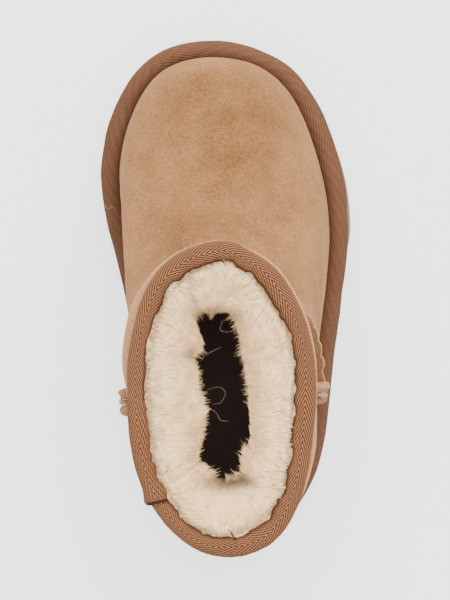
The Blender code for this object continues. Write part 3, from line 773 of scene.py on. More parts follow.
# a meridian's levels: 0 feather line, 1 bulge, 2 shoulder, 3 vamp, 4 throat, 5 rim, 6 edge
VAMP, RIM, EDGE = 3, 5, 6
BULGE_SHARE = 0.35
SWELL_AT = (0, 1, 0.8, 0.4, 0, 0, 0)
SPRING_AT = (1, 1, 0.8, 0.5, 0.1, 0, 0)
UPPER_COLUMNS = 400
UPPER_ROWS = 88
COARSE_ROWS = 60  # rows up to the level at which they draw together
COARSE_END = 4.9
INSIDE_LEVELS = (6, 5.3, 4.4, 3.3, 2.5, 1.7, 0.9, 0.35)
BLENDS = 36  # rounds of smoothing where the vamp runs on into the shaft
RIM_ROLL_AT = 5.46  # level of the soft roll below the collar's tape
RIM_ROLL_HALF = (0.5, 0.2)  # levels over which it fades below and above
TAPE_EDGE_AT = 5.62  # level from which the tape presses on the suede
# mm out of the suede's edge, in plan, to which the roll reaches at each station
RIM_ROLL = (
    (0, 1.3), (1, 1.65), (2, 2.25), (3, 3.0), (4, 2.5), (4.5, 1.95), (4.8, 1.1),
    (5, 0.8), (6, 0.8), (7, 1.2), (8, 0.7), (9, 2.2), (10, 3.2), (10.4, 3.6),
    (10.9, 2.5), (12, 2.6), (13, 2.65), (14, 2.3), (15, 1.25), (15.5, 0.7), (16, 1.3),
)
UNDER_TAPE = 0.55 * MM  # how much the tape presses the suede in

# Soft creases and swells: where (station and level), half length in stations, half width in
# levels, how much it climbs per station, and mm out (below zero: in).
CREASES = (
    (15.2, 1.20, 1.8, 1.00, 0.00, 1.10),
    (3.6, 3.00, 0.95, 1.15, 0.00, 2.50),
    (12.5, 3.00, 0.8, 0.90, 0.00, 0.50),
    (0.2, 3.55, 2.6, 0.20, 0.00, -0.55),
    (0.0, 3.05, 2.2, 0.30, 0.02, 0.35),
    (15.3, 2.75, 0.9, 0.16, 0.25, -0.22),
    (1.1, 2.80, 0.8, 0.16, -0.22, -0.25),
    (13.2, 3.10, 0.9, 0.14, 0.45, -0.30),
    (12.4, 2.75, 0.8, 0.14, 0.55, -0.32),
    (2.9, 3.05, 0.9, 0.14, -0.45, -0.30),
    (10.4, 3.30, 0.6, 0.20, 0.50, -0.55),
    (9.7, 2.60, 0.7, 0.20, -0.30, -0.50),
    (10.1, 1.90, 0.5, 0.16, 0.20, -0.35),
    (6.0, 3.20, 0.6, 0.20, -0.50, -0.55),
    (6.7, 2.50, 0.7, 0.18, 0.30, -0.45),
    (6.2, 1.80, 0.5, 0.16, -0.20, -0.30),
    (8.0, 3.70, 1.6, 0.16, 0.00, -0.50),
    (8.1, 3.35, 1.4, 0.20, 0.00, 0.30),
    (4.0, 1.70, 0.9, 0.22, 0.10, -0.30),
    (12.2, 1.60, 0.9, 0.20, -0.10, -0.28),
)

# Where the nap is brushed darker (below zero: lighter) on the vamp: its middle and half
# sizes in mm, and how much.
CLOUDS = (
    (-1, 50, 9, 14, 0.55), (2, 38, 10, 9, 0.40), (-20, 60, 8, 10, 0.35), (16, 24, 14, 5, 0.20),
    (-14, 22, 16, 6, 0.20), (24, 46, 8, 12, -0.30), (-6, 78, 20, 5, -0.20), (-30, 52, 4, 16, -0.10),
    (10, 60, 14, 8, 0.30), (-4, 69, 11, 6, 0.45), (15, 48, 5, 12, 0.40), (27, 60, 4, 9, -0.35),
    (30, 48, 3, 9, -0.30), (-31, 33, 6, 9, -0.35), (-4, 27, 13, 5, -0.35), (27, 17, 8, 12, -0.40),
    (-20, 14, 7, 6, 0.40), (-32, 12, 3, 14, -0.35), (0, 9, 7, 4, 0.30), (14, 16, 4, 4, 0.30),
)


def along(points, t):
    """A smooth curve up each column of points (level, n, 3), read at that column's own t.

    Each stretch is a cubic whose slopes come from the chords on both sides of a point."""
    chord = np.linalg.norm(np.diff(points, axis=0), axis=2)[..., None] + 1e-9
    slope = np.diff(points, axis=0) / chord
    inner = (slope[:-1] * chord[1:] + slope[1:] * chord[:-1]) / (chord[:-1] + chord[1:])
    tangent = np.concatenate([slope[:1], inner, slope[-1:]])
    t = np.clip(t, 0, len(points) - 1)
    low = np.minimum(t.astype(int), len(points) - 2)
    s = (t - low)[:, None]
    n = np.arange(points.shape[1])
    start, end, d = points[low, n], points[low + 1, n], chord[low, n]
    return (
        (2 * s**3 - 3 * s**2 + 1) * start
        + (s**3 - 2 * s**2 + s) * d * tangent[low, n]
        + (3 * s**2 - 2 * s**3) * end
        + (s**3 - s**2) * d * tangent[low + 1, n]
    )


def collar_line(u):
    return COLLAR_CENTRE + plan_line("collar", COLLAR_WIDTH, COLLAR_LENGTH, u)


def levels(u):
    """The seven control points of each meridian, as (level, n, 3)."""
    feather = sole_outline(u, -FEATHER_INSET)
    out = outward(sole_line, u)
    edge_out = outward(collar_line, u)
    edge = collar_line(u) - edge_out * (TAPE + GAP)
    shoulder_z = column("shoulder_z", u) * MM
    share = (column("collar_y", u) + 1) / 2
    top = COLLAR_TOP_BACK + (COLLAR_TOP_FRONT - COLLAR_TOP_BACK) * share - TAPE - GAP
    heights = (
        FEATHER_Z,
        FEATHER_Z + BULGE_SHARE * (shoulder_z - FEATHER_Z),
        shoulder_z,
        column("vamp_z", u) * MM,
        column("throat_z", u) * MM,
        top - RIM_BELOW_TOP,
        top,
    )
    ways_in = [0 * u, 0 * u, *(column(f"{name}_in", u) for name in ("shoulder", "vamp", "throat"))]
    ways_in += [0 * u + 1, 0 * u + 1]
    lift = rise(feather[:, 1])
    rows = []
    for level, (z, way_in) in enumerate(zip(heights, ways_in)):
        plan = feather + (edge - feather) * way_in[:, None]
        plan = plan + out * (column("bulge", u) * MM * SWELL_AT[level])[:, None]
        if level == RIM:
            plan = plan + edge_out * (column("rim", u) * MM)[:, None]
        rows.append(raised(plan, z + lift * SPRING_AT[level]))
    return np.stack(rows)


def last(u, t, out=0.0):
    """The boot's outer surface at stations u and levels t, moved out by that much."""
    u, t, out = np.broadcast_arrays(u, t, out)
    shape = u.shape
    u, t, out = u.ravel().astype(float), t.ravel().astype(float), out.reshape(-1, 1)
    step = 0.04
    across = along(levels(u + step), t) - along(levels(u - step), t)
    middle = levels(u)
    up = along(middle, t + step) - along(middle, t - step)
    return (along(middle, t) + unit(np.cross(across, up)) * out).reshape(*shape, 3)


def creased(u, t):
    """How far the suede stands out at u and t: the sum of the soft creases and swells."""
    total = 0.0
    for at, level, long, wide, climb, out in CREASES:
        run = (u - at + FULL_TURN / 2) % FULL_TURN - FULL_TURN / 2
        off = t - level - climb * run
        total = total + out * MM * np.exp(-((run / long) ** 2) - (off / wide) ** 2)
    return total


def spots(points, table):
    """The sum of soft spots in plan: rows of middle and half sizes in mm, and how much."""
    total = 0.0
    for x, y, long, wide, amount in table:
        away = ((points[..., 0] / MM - x) / long) ** 2 + ((points[..., 1] / MM - y) / wide) ** 2
        total = total + amount * np.exp(-away)
    return total


def rolled(u, t):
    """How far the suede stands out round the collar: a soft roll, pressed in by the tape."""
    plain_u = u.ravel()
    edge = last(plain_u, EDGE)
    reach = ((last(plain_u, RIM_ROLL_AT) - edge)[:, :2] * outward(collar_line, plain_u)).sum(1)
    roll = read(RIM_ROLL, plain_u) * MM - reach
    below, above = RIM_ROLL_HALF
    share = np.exp(-(((t - RIM_ROLL_AT) / np.where(t > RIM_ROLL_AT, above, below)) ** 2))
    return roll.reshape(u.shape) * share - UNDER_TAPE * ramp(t, TAPE_EDGE_AT, 0.12)


u = np.linspace(0, FULL_TURN, UPPER_COLUMNS, endpoint=False)[None, :]
row_steps = (0, COARSE_ROWS, UPPER_ROWS - 1)
t = np.interp(np.arange(UPPER_ROWS), row_steps, (0, COARSE_END, EDGE))[:, None]
bare = last(u, t)
easy = ramp(t, 2.6, 0.6) * ramp(t, 4.75, -0.35)
for _ in range(BLENDS):
    bend = bare[:-2] + bare[2:] - 2 * bare[1:-1]
    bare[1:-1] += 0.33 * easy[1:-1, :, None] * bend
soft = creased(u, t) + 0.16 * MM * mottle(bare, 9 * MM, 1) + 0.05 * MM * mottle(bare, 3 * MM, 2)
fade = ramp(t, 0, 0.3) * ramp(t, 5.1, -0.4)
suede_face = bare + facing(bare) * (soft * fade + rolled(u, t))[..., None]
hidden = [*last(u, np.array(INSIDE_LEVELS)[:, None], -WALL)]
for inset, up in ((WALL, WALL), (WALL + LASTING_MARGIN, WALL), (WALL + LASTING_MARGIN, 0)):
    hidden.append(sole_row(u[0], -(FEATHER_INSET + inset), FEATHER_Z + up))
brushed = 0.25 * mottle(bare, 13 * MM, 3) + 0.2 * mottle(bare, 5 * MM, 4) + spots(bare, CLOUDS)
# pale from buffing and a painted highlight: by the feather line and on the roll under the collar,
# less where the tape presses
buffed = np.clip(1 - t / 1.3, 0, 1) ** 2 + ramp(t, 4.9, 0.5) ** 2 - 0.45 * ramp(t, 5.48, 0.1)
upper_mesh = two_sided("upper_suede", suede_face, hidden, brushed=(brushed, 0), buffed=(buffed, 0))


def suede_finish(name, light, dark, pale):
    """Suede: a short nap brushed lighter and darker in clouds, pale at its edges from buffing and a
    painted highlight, darker where painted shade lies.
    """
    made = Finish(name)
    nap = made.noise(0.5 * MM, 4.0, 0.75)
    clouds = made.noise(9 * MM, 4.0, 0.65)
    specks = made.noise(1.2 * MM, 3.0, 0.7)
    share = 0.42 + 0.6 * made.attribute("brushed") + 0.65 * (clouds - 0.5) + 0.8 * (specks - 0.5)
    colour = made.mix(share.clipped(), light, dark)
    # painted shade on seam lips and flaps that lie under the collar's roll
    colour = made.mix(made.attribute("crease"), colour, (0.052, 0.024, 0.013))
    # pale where buffed and where a highlight is painted
    colour = made.mix((0.65 * made.attribute("buffed")).clipped(), colour, pale)
    made.coat(
        base_color=made.lit(colour, 2.3 * nap - 0.15),
        roughness=0.95,
        normal=made.bump(nap, 0.12 * MM),
        sheen_weight=0.1,
        sheen_roughness=0.5,
        sheen_tint=(1.0, 0.6, 0.35),
        specular_ior_level=0.05,
    )
    return made


suede = suede_finish("suede", (0.280, 0.137, 0.056), (0.108, 0.046, 0.015), (0.475, 0.268, 0.142))
piece("upper_suede", upper_mesh, suede, "suede", "upper")


# ---------------------------------------------------------------- raised seams
# The panels are sewn edge to edge with the cut edges standing outwards: two lips of suede
# side by side, pulled in by overcast stitches, with wool showing between them.

SIDE_SEAM_WIDTH = 6.5 * MM
SIDE_SEAM_HEIGHT = 3.1 * MM
SIDE_SEAM_FOOT = 0.52  # levels at which it starts and ends
SIDE_SEAM_TOP = 4.62
SPLAY_LEVELS = (3.9, 0.7)  # the level from which its upper end splays, and over how much
VAMP_SEAM_WIDTH = 5.0 * MM
# how high it stands: station and mm; its lower lip stands farther out by that share
VAMP_SEAM_HEIGHT = ((11, 5.0), (11.2, 4.4), (11.35, 3.6), (12.3, 3.4), (13.4, 1.2), (22, 1.2))
VAMP_SEAM_LEAN = 0.16
# painted shade on the inner lip, under the collar's roll: station and share
VAMP_SEAM_SHADE = ((11, 0.65), (12.3, 0.6), (12.8, 0.2), (14, 0.3), (22, 0.3))
VAMP_SEAM_LEVEL = 4.74
SEAM_APART = 0.16  # stations between the side seams and the vamp seam's ends
STITCH_PITCH = 4.6 * MM
STITCH_PINCH = 0.9 * MM  # how far from a stitch the lips are drawn in
THREAD = 0.24 * MM
LIP_SAMPLES = 27
LIP_MIDDLE = 0.52  # where a lip's ridge lies across the seam, and its half width there
LIP_HALF = 0.48
LIP_SUNK = 0.15 * MM
LIP_FOOT = 0.6 * MM
ASKEW = np.array((0.31, 0.52, 0.79))  # a direction along which no hair or thread lies
SEAM_SAMPLES = 150
SEAM_END = 132  # the sample past which the upper end's thicker wool stands
VAMP_SEAM_SAMPLES = 300
SEAM_WOOL_RADII = (0.10 * MM, 0.08 * MM, 0.02 * MM)
HAIR_WAY = np.array((0.0, 0.5, 1.0))  # the share of a short hair's length at each of its points
# the folded ends: station, level, half length in stations, half height in levels, mm out,
# and how dark their painted shade is, under the collar's roll
FLAPS = {
    "seam_flap_front": (11.15, 4.82, 0.115, 0.34, 5.5, 0.0),
    "seam_flap_back": (10.95, 4.72, 0.060, 0.30, 4.6, 0.3),
    "seam_flap_side": (4.97, 4.52, 0.120, 0.34, 3.9, 0.8),
    "seam_flap_medial": (5.19, 4.50, 0.098, 0.32, 3.9, 0.1),
}
FLAP_SAMPLES = 33
FLAP_SUNK = 0.3 * MM
FLAP_FOOT = 0.8 * MM
# the wool between them: station, level, spread in stations, mm out, hairs
FLUFF = (
    (11.03, 4.85, 0.012, 4.9, 22),
    (11.10, 4.80, 0.040, 5.2, 8),
    (5.08, 4.50, 0.030, 4.1, 70),
    (5.2, 4.45, 0.040, 4.2, 34),
)
FLUFF_RADII = (0.09 * MM, 0.08 * MM, 0.03 * MM)


def tubes(paths, radii, sides, spin):
    """Points and faces of thin closed tubes along paths (n, k, 3), turned by spin (n)."""
    n, k = paths.shape[:2]
    run = unit(np.gradient(paths, axis=1), TINY)
    first = unit(np.cross(run, ASKEW), TINY)
    second = np.cross(run, first)
    angle = spin[:, None] + np.arange(sides) * 2 * math.pi / sides
    wide = np.broadcast_to(radii, (n, k))[..., None, None]
    ring = (
        np.cos(angle)[:, None, :, None] * first[:, :, None, :]
        + np.sin(angle)[:, None, :, None] * second[:, :, None, :]
    )
    points = (paths[:, :, None, :] + wide * ring).reshape(-1, 3)
    one = quads_of(k, sides, tube=False)
    caps = end_caps(k, sides)
    offsets = (np.arange(n) * k * sides)[:, None, None]
    return points, (one + offsets).reshape(-1, 4), (caps + offsets).reshape(-1, sides)


def strands(name, paths, radii, draw, sides=3, **shades):
    """A mesh of hairs or threads, with each point's share of the way to the tip and a tint.

    shades gives further attributes, one value to a hair."""
    n, k = paths.shape[:2]
    points, walls, caps = tubes(paths, radii, sides, draw.uniform(0, 6.28, n))
    tip = np.broadcast_to(np.linspace(0, 1, k)[None, :, None], (n, k, sides))
    tint = np.broadcast_to(draw.uniform(0, 1, n)[:, None, None], (n, k, sides))
    shades = {title: np.repeat(value, k * sides) for title, value in shades.items()}
    return mesh_of(name, points, walls, caps, tip=tip, tint=tint, **shades)


def lips(name, u, t, du, dt, height, seed, dent=0.38, lean=0.0, lip_shade=0.0):
    """A seam along (u, t), and its stitches: two lips across the half widths du and dt.

    Each lip is a rounded ridge of that height, a number or one to a point; both dip at the
    stitches and vary a little in height. The inner lip carries a painted shade, by its last
    argument."""
    v = np.linspace(-1, 1, LIP_SAMPLES)
    middle = last(u, t)
    run = run_along(middle)
    off_stitch = ((run / STITCH_PITCH + 0.5) % 1 - 0.5) * STITCH_PITCH
    pinch = np.exp(-((off_stitch / STITCH_PINCH) ** 2))
    ridge = (1 - (np.abs(np.abs(v) - LIP_MIDDLE) / LIP_HALF) ** 3).clip(0) ** 0.6
    uneven = 1 + 0.5 * dent * mottle(middle, 2.6 * MM, seed) - dent * pinch
    tilt = np.sign(v) * (0.12 * mottle(middle, 4 * MM, seed + 1)[:, None] - lean)
    high = ridge * ((height * uneven)[:, None] * (1 + tilt))
    wavy = 1 + 0.5 * dent * (mottle(middle, 3.2 * MM, seed + 2) - pinch)[:, None]
    wide_u, wide_t = v * wavy * du[:, None], v * wavy * dt[:, None]
    grain = 0.12 * MM * mottle(middle[:, None, :] + v[:, None] * 2 * MM, 0.9 * MM, seed + 3)
    top = last(u[:, None] + wide_u, t[:, None] + wide_t, high - LIP_SUNK + grain * ridge)
    edges = [-1, LIP_SAMPLES // 2, 0]
    foot = last(u[:, None] + wide_u, t[:, None] + wide_t, -LIP_FOOT)[:, edges]
    pale, dark = np.zeros((2, len(u), LIP_SAMPLES + len(edges)))
    # the lips' ridges pale, buffed and with a painted highlight, and the inner lip in painted shade
    inward = ramp(v, -0.34, 0.12) if lean else 0 * v
    pale[:, :LIP_SAMPLES] = 0.7 * ridge**3 * (1 - inward)
    dark[:, :LIP_SAMPLES] = inward * (lip_shade + 0 * u)[:, None]
    mesh = capped(
        name,
        np.concatenate([top, foot], 1),
        buffed=pale,
        brushed=0.35 * mottle(middle, 2 * MM, seed + 4)[:, None] + 0 * pale,
        crease=dark,
    )
    ties = np.arange(0.5, run[-1] / STITCH_PITCH - 0.3)[:, None] * STITCH_PITCH
    tall = height + 0 * u
    at_u, at_t, tie_du, tie_dt, tie_up = (np.interp(ties, run, v) for v in (u, t, du, dt, tall))
    w = np.linspace(-0.95, 0.95, 11)
    over = tie_up * 0.62 * (1 - np.abs(w) ** 4) + 0.1 * MM
    return mesh, last(at_u + w * tie_du, at_t + w * tie_dt, over)


def wool_between(u, t, du, dt, height, count, reach, spread, draw):
    """Short wool that stands up between a seam's lips and leans out either way."""
    at = draw.uniform(0, len(u) - 1, (count, 1))
    roots = (np.interp(at, np.arange(len(u)), row) for row in (u, t, du, dt))
    here_u, here_t, here_du, here_dt = roots
    off = draw.normal(0, spread, (count, 1)) + draw.normal(0, 2 * spread, (count, 1)) * HAIR_WAY
    long = reach * draw.uniform(0.5, 1.2, (count, 1))
    up = height * 0.35 + long * HAIR_WAY * (1 - 0.25 * HAIR_WAY)
    slide = draw.normal(0, 0.02, (count, 1)) * HAIR_WAY
    return last(here_u + off * here_du, here_t + off * here_dt + slide, up)


wool = Finish("seam_wool")
wool.coat(
    base_color=wool.mix(wool.attribute("tip"), (0.45, 0.32, 0.22), (0.56, 0.42, 0.34)),
    roughness=0.9,
    sheen_weight=0.1,
)
thread = Finish("seam_thread")
ply = thread.noise(0.3 * MM, 2.0)
thread.coat(
    base_color=thread.mix(ply, (0.13, 0.05, 0.02), (0.2, 0.085, 0.035)),
    roughness=0.7,
    normal=thread.bump(ply, 0.05 * MM),
)
seam_threads, seam_wool = [], []
draw = np.random.default_rng(31)
for name, station, splay, spread in (
    ("medial", SIDE_MEDIAL, 0.45, 0.2),
    ("lateral", SIDE_LATERAL, 0.5, 0.09),
):
    t = np.linspace(SIDE_SEAM_FOOT, SIDE_SEAM_TOP, SEAM_SAMPLES)
    u = np.full(len(t), float(station))
    ends = last(np.array([station - 0.5, station + 0.5]), VAMP)
    half_u = 0 * t + SIDE_SEAM_WIDTH / 2 / np.linalg.norm(ends[1] - ends[0])
    stands = SIDE_SEAM_HEIGHT * (1 + splay * ramp(t, *SPLAY_LEVELS) ** 2)
    mesh, ties = lips(f"seam_{name}", u, t, half_u, 0 * t, stands, station * 7)
    piece(f"side_seam_{name}_lips", mesh, suede, "suede", f"side_seam_{name}")
    seam_threads.append(ties)
    for first, count, reach in ((0, 600, 2.4 * MM), (SEAM_END, 120, 3.0 * MM)):
        grid = u[first:], t[first:], half_u[first:], 0 * t[first:]
        seam_wool.append(wool_between(*grid, SIDE_SEAM_HEIGHT, count, reach, spread, draw))
ends = SIDE_LATERAL + SEAM_APART, FULL_TURN + SIDE_MEDIAL - SEAM_APART
u = np.linspace(*ends, VAMP_SEAM_SAMPLES)
t = np.full(len(u), VAMP_SEAM_LEVEL)
level_step = np.linalg.norm(last(u, t + 0.1) - last(u, t - 0.1), axis=1)
half_t = VAMP_SEAM_WIDTH / 2 * 0.2 / level_step
stands = read(VAMP_SEAM_HEIGHT, u) * MM
lip_shade = read(VAMP_SEAM_SHADE, u)
mesh, ties = lips("seam_vamp", u, t, 0 * u, half_t, stands, 5, 0.12, VAMP_SEAM_LEAN, lip_shade)
piece("vamp_seam_lips", mesh, suede, "suede", "vamp_seam")
seam_threads.append(ties)
ties = strands("seam_thread", np.concatenate(seam_threads), THREAD, draw, sides=6)
piece("seam_threads", ties, thread, "herringbone_tape")
tufts = strands("seam_wool", np.concatenate(seam_wool), SEAM_WOOL_RADII, draw)
piece("seam_wool", tufts, wool, "fleece")

# where the seams meet under the collar their ends fold over, as small flaps with wool between
v = np.linspace(-1, 1, FLAP_SAMPLES)
square_u, square_v = np.meshgrid(v, v)
disc_u = square_u * np.sqrt(1 - square_v**2 / 2)
disc_v = square_v * np.sqrt(1 - square_u**2 / 2)
for name, (station, level, half_u, half_t, height, dark) in FLAPS.items():
    flap_u, flap_t = station + half_u * disc_u, level + half_t * disc_v
    place = last(flap_u, flap_t)
    fold = np.clip(1 - (disc_u**2 + disc_v**2) ** 2.2, 0, 1)
    fold = fold * (1 + 0.22 * mottle(place, 2 * MM, 61) + 0.16 * mottle(place, 1 * MM, 62))
    # the flap's top is pale, buffed and with a painted highlight, and it lies in painted shade as
    # dark as given
    flap_mesh = two_sided(
        name,
        last(flap_u, flap_t, height * MM * fold - FLAP_SUNK),
        last(flap_u, flap_t, -FLAP_FOOT)[::-1],
        ring=False,
        buffed=(0.15 + 0.35 * fold, 0),
        brushed=(0.8 * mottle(place, 1.5 * MM, 63), 0),
        crease=(dark * (1 - 0.2 * fold), dark),
    )
    piece(name, flap_mesh, suede, "suede")
fluff = []
for station, level, spread, height, count in FLUFF:
    at_u = station + draw.normal(0, spread, (count, 1)) + draw.normal(0, 0.5 * spread, (count, 3))
    at_t = level + draw.uniform(-0.25, 0.25, (count, 1)) + draw.normal(0, 0.05, (count, 3))
    tall = height * MM * draw.uniform(0.7, 1.05, (count, 1))
    fluff.append(last(at_u, at_t, tall * (0.3 + 0.7 * HAIR_WAY)))
fluff = strands("flap_wool", np.concatenate(fluff), FLUFF_RADII, draw)
piece("flap_wool", fluff, wool, "fleece")


# ---------------------------------------------------------------- heel counter
# A patch of the same suede with a bowed top edge, laid over the back and sewn down with two
# rows of stitches. It carries no label.

COUNTER = 1.2 * MM
COUNTER_HALF = 2.35  # stations on each side of the heel's middle
COUNTER_TOP = 3.05  # levels
COUNTER_FOOT = 0.5
COUNTER_BOW = 1.35
COUNTER_SHAPE = (84, 48)
COUNTER_EDGE = 0.8 * MM
COUNTER_SUNK = 0.4 * MM
SEAM_DENT = 0.28 * MM
SEW_LINE = 600  # steps in which the stitches' line is worked out
SEW_INSETS = (2.2 * MM, 4.4 * MM)  # the two rows of stitches, in from the edge
SEW_WIDTH = 0.55 * MM
SEW_PITCH = 3.0 * MM
SEW_THREAD = 0.26 * MM
SEW_DIP = 0.55 * MM
COUNTER_MIDDLE_Z = 50 * MM


def counter_top(u):
    """The level of the counter's bowed top edge."""
    return COUNTER_TOP - COUNTER_BOW * (np.abs(u - HEEL_BACK) / COUNTER_HALF) ** 2.4


def stitches(line, pitch, bury):
    """Stitches along a line of points: each a short arch that dips into the leather."""
    run = run_along(line)
    count = int(run[-1] / pitch)
    q = np.linspace(0.08, 0.92, 7)
    at = (np.arange(count)[:, None] + q) * run[-1] / count
    arch = np.stack([np.interp(at, run, line[:, i]) for i in range(3)], -1)
    return arch, bury * (np.abs(2 * q - 1) ** 3)


u = np.linspace(HEEL_BACK - COUNTER_HALF, HEEL_BACK + COUNTER_HALF, COUNTER_SHAPE[0])
way = np.linspace(0, 1, COUNTER_SHAPE[1])[:, None]
t = COUNTER_FOOT + (counter_top(u) - COUNTER_FOOT) * way
bare = last(u, t)
soft = creased(u, t) + 0.12 * MM * mottle(bare, 8 * MM, 11)
edges = bare[-1:], bare[:, :1], bare[:, -1:]
off_edge = np.min([np.linalg.norm(bare - edge, axis=2) for edge in edges], axis=0)
rounding = np.sqrt(np.clip(1 - (1 - ramp(off_edge, 0, COUNTER_EDGE)) ** 2, 0, 1))
sewn = sum(np.exp(-(((off_edge - inset) / SEW_WIDTH) ** 2)) for inset in SEW_INSETS)
puff = COUNTER * (0.25 + 0.75 * rounding) + soft - SEAM_DENT * sewn
counter_face = bare + facing(bare, ring=False) * puff[..., None]
counter_mesh = two_sided(
    "counter",
    counter_face,
    last(u, t, -COUNTER_SUNK)[::-1],
    ring=False,
    buffed=(np.clip(1 - off_edge / COUNTER, 0, 1), 0),
    brushed=(0.4 * mottle(bare, 10 * MM, 12), 0),
)
piece("heel_counter_patch", counter_mesh, suede, "suede", "heel_counter")
arches = []
mid_row = COUNTER_SHAPE[1] // 2
per_station = np.linalg.norm(counter_face[mid_row, 1] - counter_face[mid_row, 0]) / (u[1] - u[0])
fine = np.linspace(-1, 1, SEW_LINE)
for inset in SEW_INSETS:
    at = HEEL_BACK + fine * (COUNTER_HALF - inset / per_station)
    slope = np.linalg.norm(last(at, counter_top(at)) - last(at, counter_top(at) - 0.1), axis=1)
    line = last(at, counter_top(at) - inset * 0.1 / slope, COUNTER + 0.05 * MM)
    arch, dip = stitches(line, SEW_PITCH, SEW_DIP)
    inward = unit((*COLLAR_CENTRE, COUNTER_MIDDLE_Z) - arch)
    arches.append(arch + inward * dip[None, :, None])
sewing = strands("counter_sewing", np.concatenate(arches), SEW_THREAD, draw, sides=6)
piece("counter_stitches", sewing, thread, "herringbone_tape")


# ---------------------------------------------------------------- collar tape
# Herringbone tape folded over the shaft's raw edge and sewn through. Its lower edges follow
# the shaft; its inner edge puckers, and its cut end laps over its start at the medial back.

# how far the tape reaches at each station, in plan: mm out of the suede's edge, and mm in
TAPE_OUT = (0.95, 1.1, 0.8, 0.3, 0.25, 0.55, 1.1, 1.65, 1.1, 2.95, 2.3, 2.05, 1.85, 1.7, 1.5, 0.75)
TAPE_IN = (5.6, 5.9, 5.7, 5.6, 5.4, 4.8, 4.2, 3.6, 5.5, 3.5, 3.7, 4.8, 3.9, 4.7, 5.3, 5.4)
# the fold's section: share of the way in, mm in beside that, and mm up from the edge
TAPE_SECTION = (
    (0.0, 0.3, -5.2), (0.0, 0.0, -4.6), (0.0, 0.0, -2.8), (0.0, 0.05, -1.2),
    (0.1, 0.0, 0.4), (0.28, 0.0, 1.15), (0.5, 0.0, 1.4), (0.72, 0.0, 1.15),
    (0.9, 0.0, 0.4), (1.0, 0.0, -1.0), (1.0, -0.15, -2.8), (1.0, -0.6, -5.0),
)
TAPE_BACK = ((1.0, -1.2, -5.0), (1.0, -1.2, -0.8), (0.0, 1.2, -0.8), (0.0, 1.2, -5.0))
TAPE_ROWS = 72
TAPE_SPINE = 5.6 * MM  # from one spine to the next turn of the twill
TAPE_PITCH = 1.85 * MM
TAPE_ANGLE = math.radians(22)
TAPE_RIB = 0.22 * MM
TAPE_SAMPLES = 6
PUCKER = 0.8 * MM
PUCKER_WIDTHS = (0.8 * MM, 2.6 * MM)  # where it starts, past the crest, and grows full over
INNER_SHADE = (2.2 * MM, 1.3 * MM)  # where the tape's inner side grows dark, past the crest
LAP_START = 5.0
LAP_END = 6.34
LAP_LIFT = 0.5 * MM
LAP_SLANT = 4.6 * MM
LAP_SHAPE = (66, 84)
LAP_STEPS = 4000
LAP_SHORT = 3.4 * MM  # how much less far in it reaches than the tape
LAP_RAMP = 6 * MM  # length over which it climbs on the tape beneath it
LAP_FLARE = 5.5 * MM  # length over which its end stands off, and by how much
LAP_STANDS = 1.6 * MM
LAP_SUNK = 0.15 * MM
FRAYED = 16
FRAY_LENGTH = (0.2 * MM, 0.7 * MM)
FRAY_RADIUS = 0.1 * MM


def tape_row(u, share, inset, up):
    """One row of the tape: at that share of its way in, moved on by inset, and up (mm)."""
    out, inner = around(TAPE_OUT, u), -around(TAPE_IN, u)
    x = (out + (inner - out) * share - inset) * MM
    row = last(u, EDGE)
    row[:, :2] += outward(collar_line, u) * x[:, None]
    row[:, 2] += up * MM
    return row


def at_turn(row, u):
    """A closed row of points, evenly spaced in u from 0, read at any u."""
    place = (u / FULL_TURN * len(row)) % len(row)
    low = place.astype(int) % len(row)
    s = (place - np.floor(place))[:, None]
    return row[low] * (1 - s) + row[(low + 1) % len(row)] * s


fine_u = np.arange(FULL) * FULL_TURN / FULL
fine_rows = [tape_row(fine_u, *point) for point in TAPE_SECTION]
steps = np.linalg.norm(np.diff(np.stack(fine_rows)[:, ::64], axis=0), axis=2).mean(1)
section_run = np.concatenate([[0], np.cumsum(steps)])
widths = np.linspace(0, section_run[-1], TAPE_ROWS)
fine_tape = smoothed(fine_rows, np.interp(widths, section_run, np.arange(len(fine_rows))))
crest = int(np.argmax(fine_tape[:, 0, 2]))
spine_width = widths[crest]
crest_of, tape_length = by_length(lambda u: at_turn(fine_tape[crest], u))
flat = fine_tape[crest] * (1, 1, 0)
waves = mottle(flat, 3.4 * MM, 21) + 0.6 * mottle(flat, 1.7 * MM, 22)
inner_share = ramp(widths - spine_width, *PUCKER_WIDTHS)[:, None]
lumps = 0.14 * MM * mottle(fine_tape, 5 * MM, 23) + 0.06 * MM * mottle(fine_tape, 2 * MM, 24)
moved = PUCKER * waves * inner_share + lumps
fine_tape = fine_tape + facing(fine_tape) * moved[..., None]

ribs = round(tape_length / TAPE_PITCH)
columns = ribs * TAPE_SAMPLES
start = np.arange(columns) * tape_length / columns
ahead = lead(widths - spine_width, TAPE_SPINE, TAPE_ANGLE)
rows = np.stack([at_turn(row, crest_of(start + run)) for row, run in zip(fine_tape, ahead)])
relief, groove = twill(np.arange(columns)[None, :] / TAPE_SAMPLES, widths)
rows = rows + facing(rows) * ((relief - RIB_MIDDLE) * TAPE_RIB)[..., None]
back = [tape_row(crest_of(start), *point) for point in TAPE_BACK]
runs = np.linspace(0, tape_length, LAP_STEPS, endpoint=False)
run_start, run_end = np.interp((LAP_START, LAP_END), crest_of(runs), runs)
# painted shade on the tape's inner side, where it folds down into the wool
dim = 1 - 0.6 * ramp(widths - spine_width, *INNER_SHADE)[:, None]
# painted shadow on the tape just past the lapped end's cut
past = start[None, :] + (ahead - LAP_SLANT * (widths / widths[-1] - 0.5))[:, None] - run_end
dim = dim * (1 - 0.5 * np.exp(-(((past - 0.3 * MM) / (0.5 * MM)) ** 2)))
tape_mesh = two_sided("collar_tape", rows, back, groove=(groove, 1), shade=(dim, 1))
collar_tape = tape_finish("collar_tape", (0.27, 0.127, 0.061), (0.195, 0.085, 0.040), 1.9)
piece("collar_tape", tape_mesh, collar_tape, "herringbone_tape", "collar_binding")

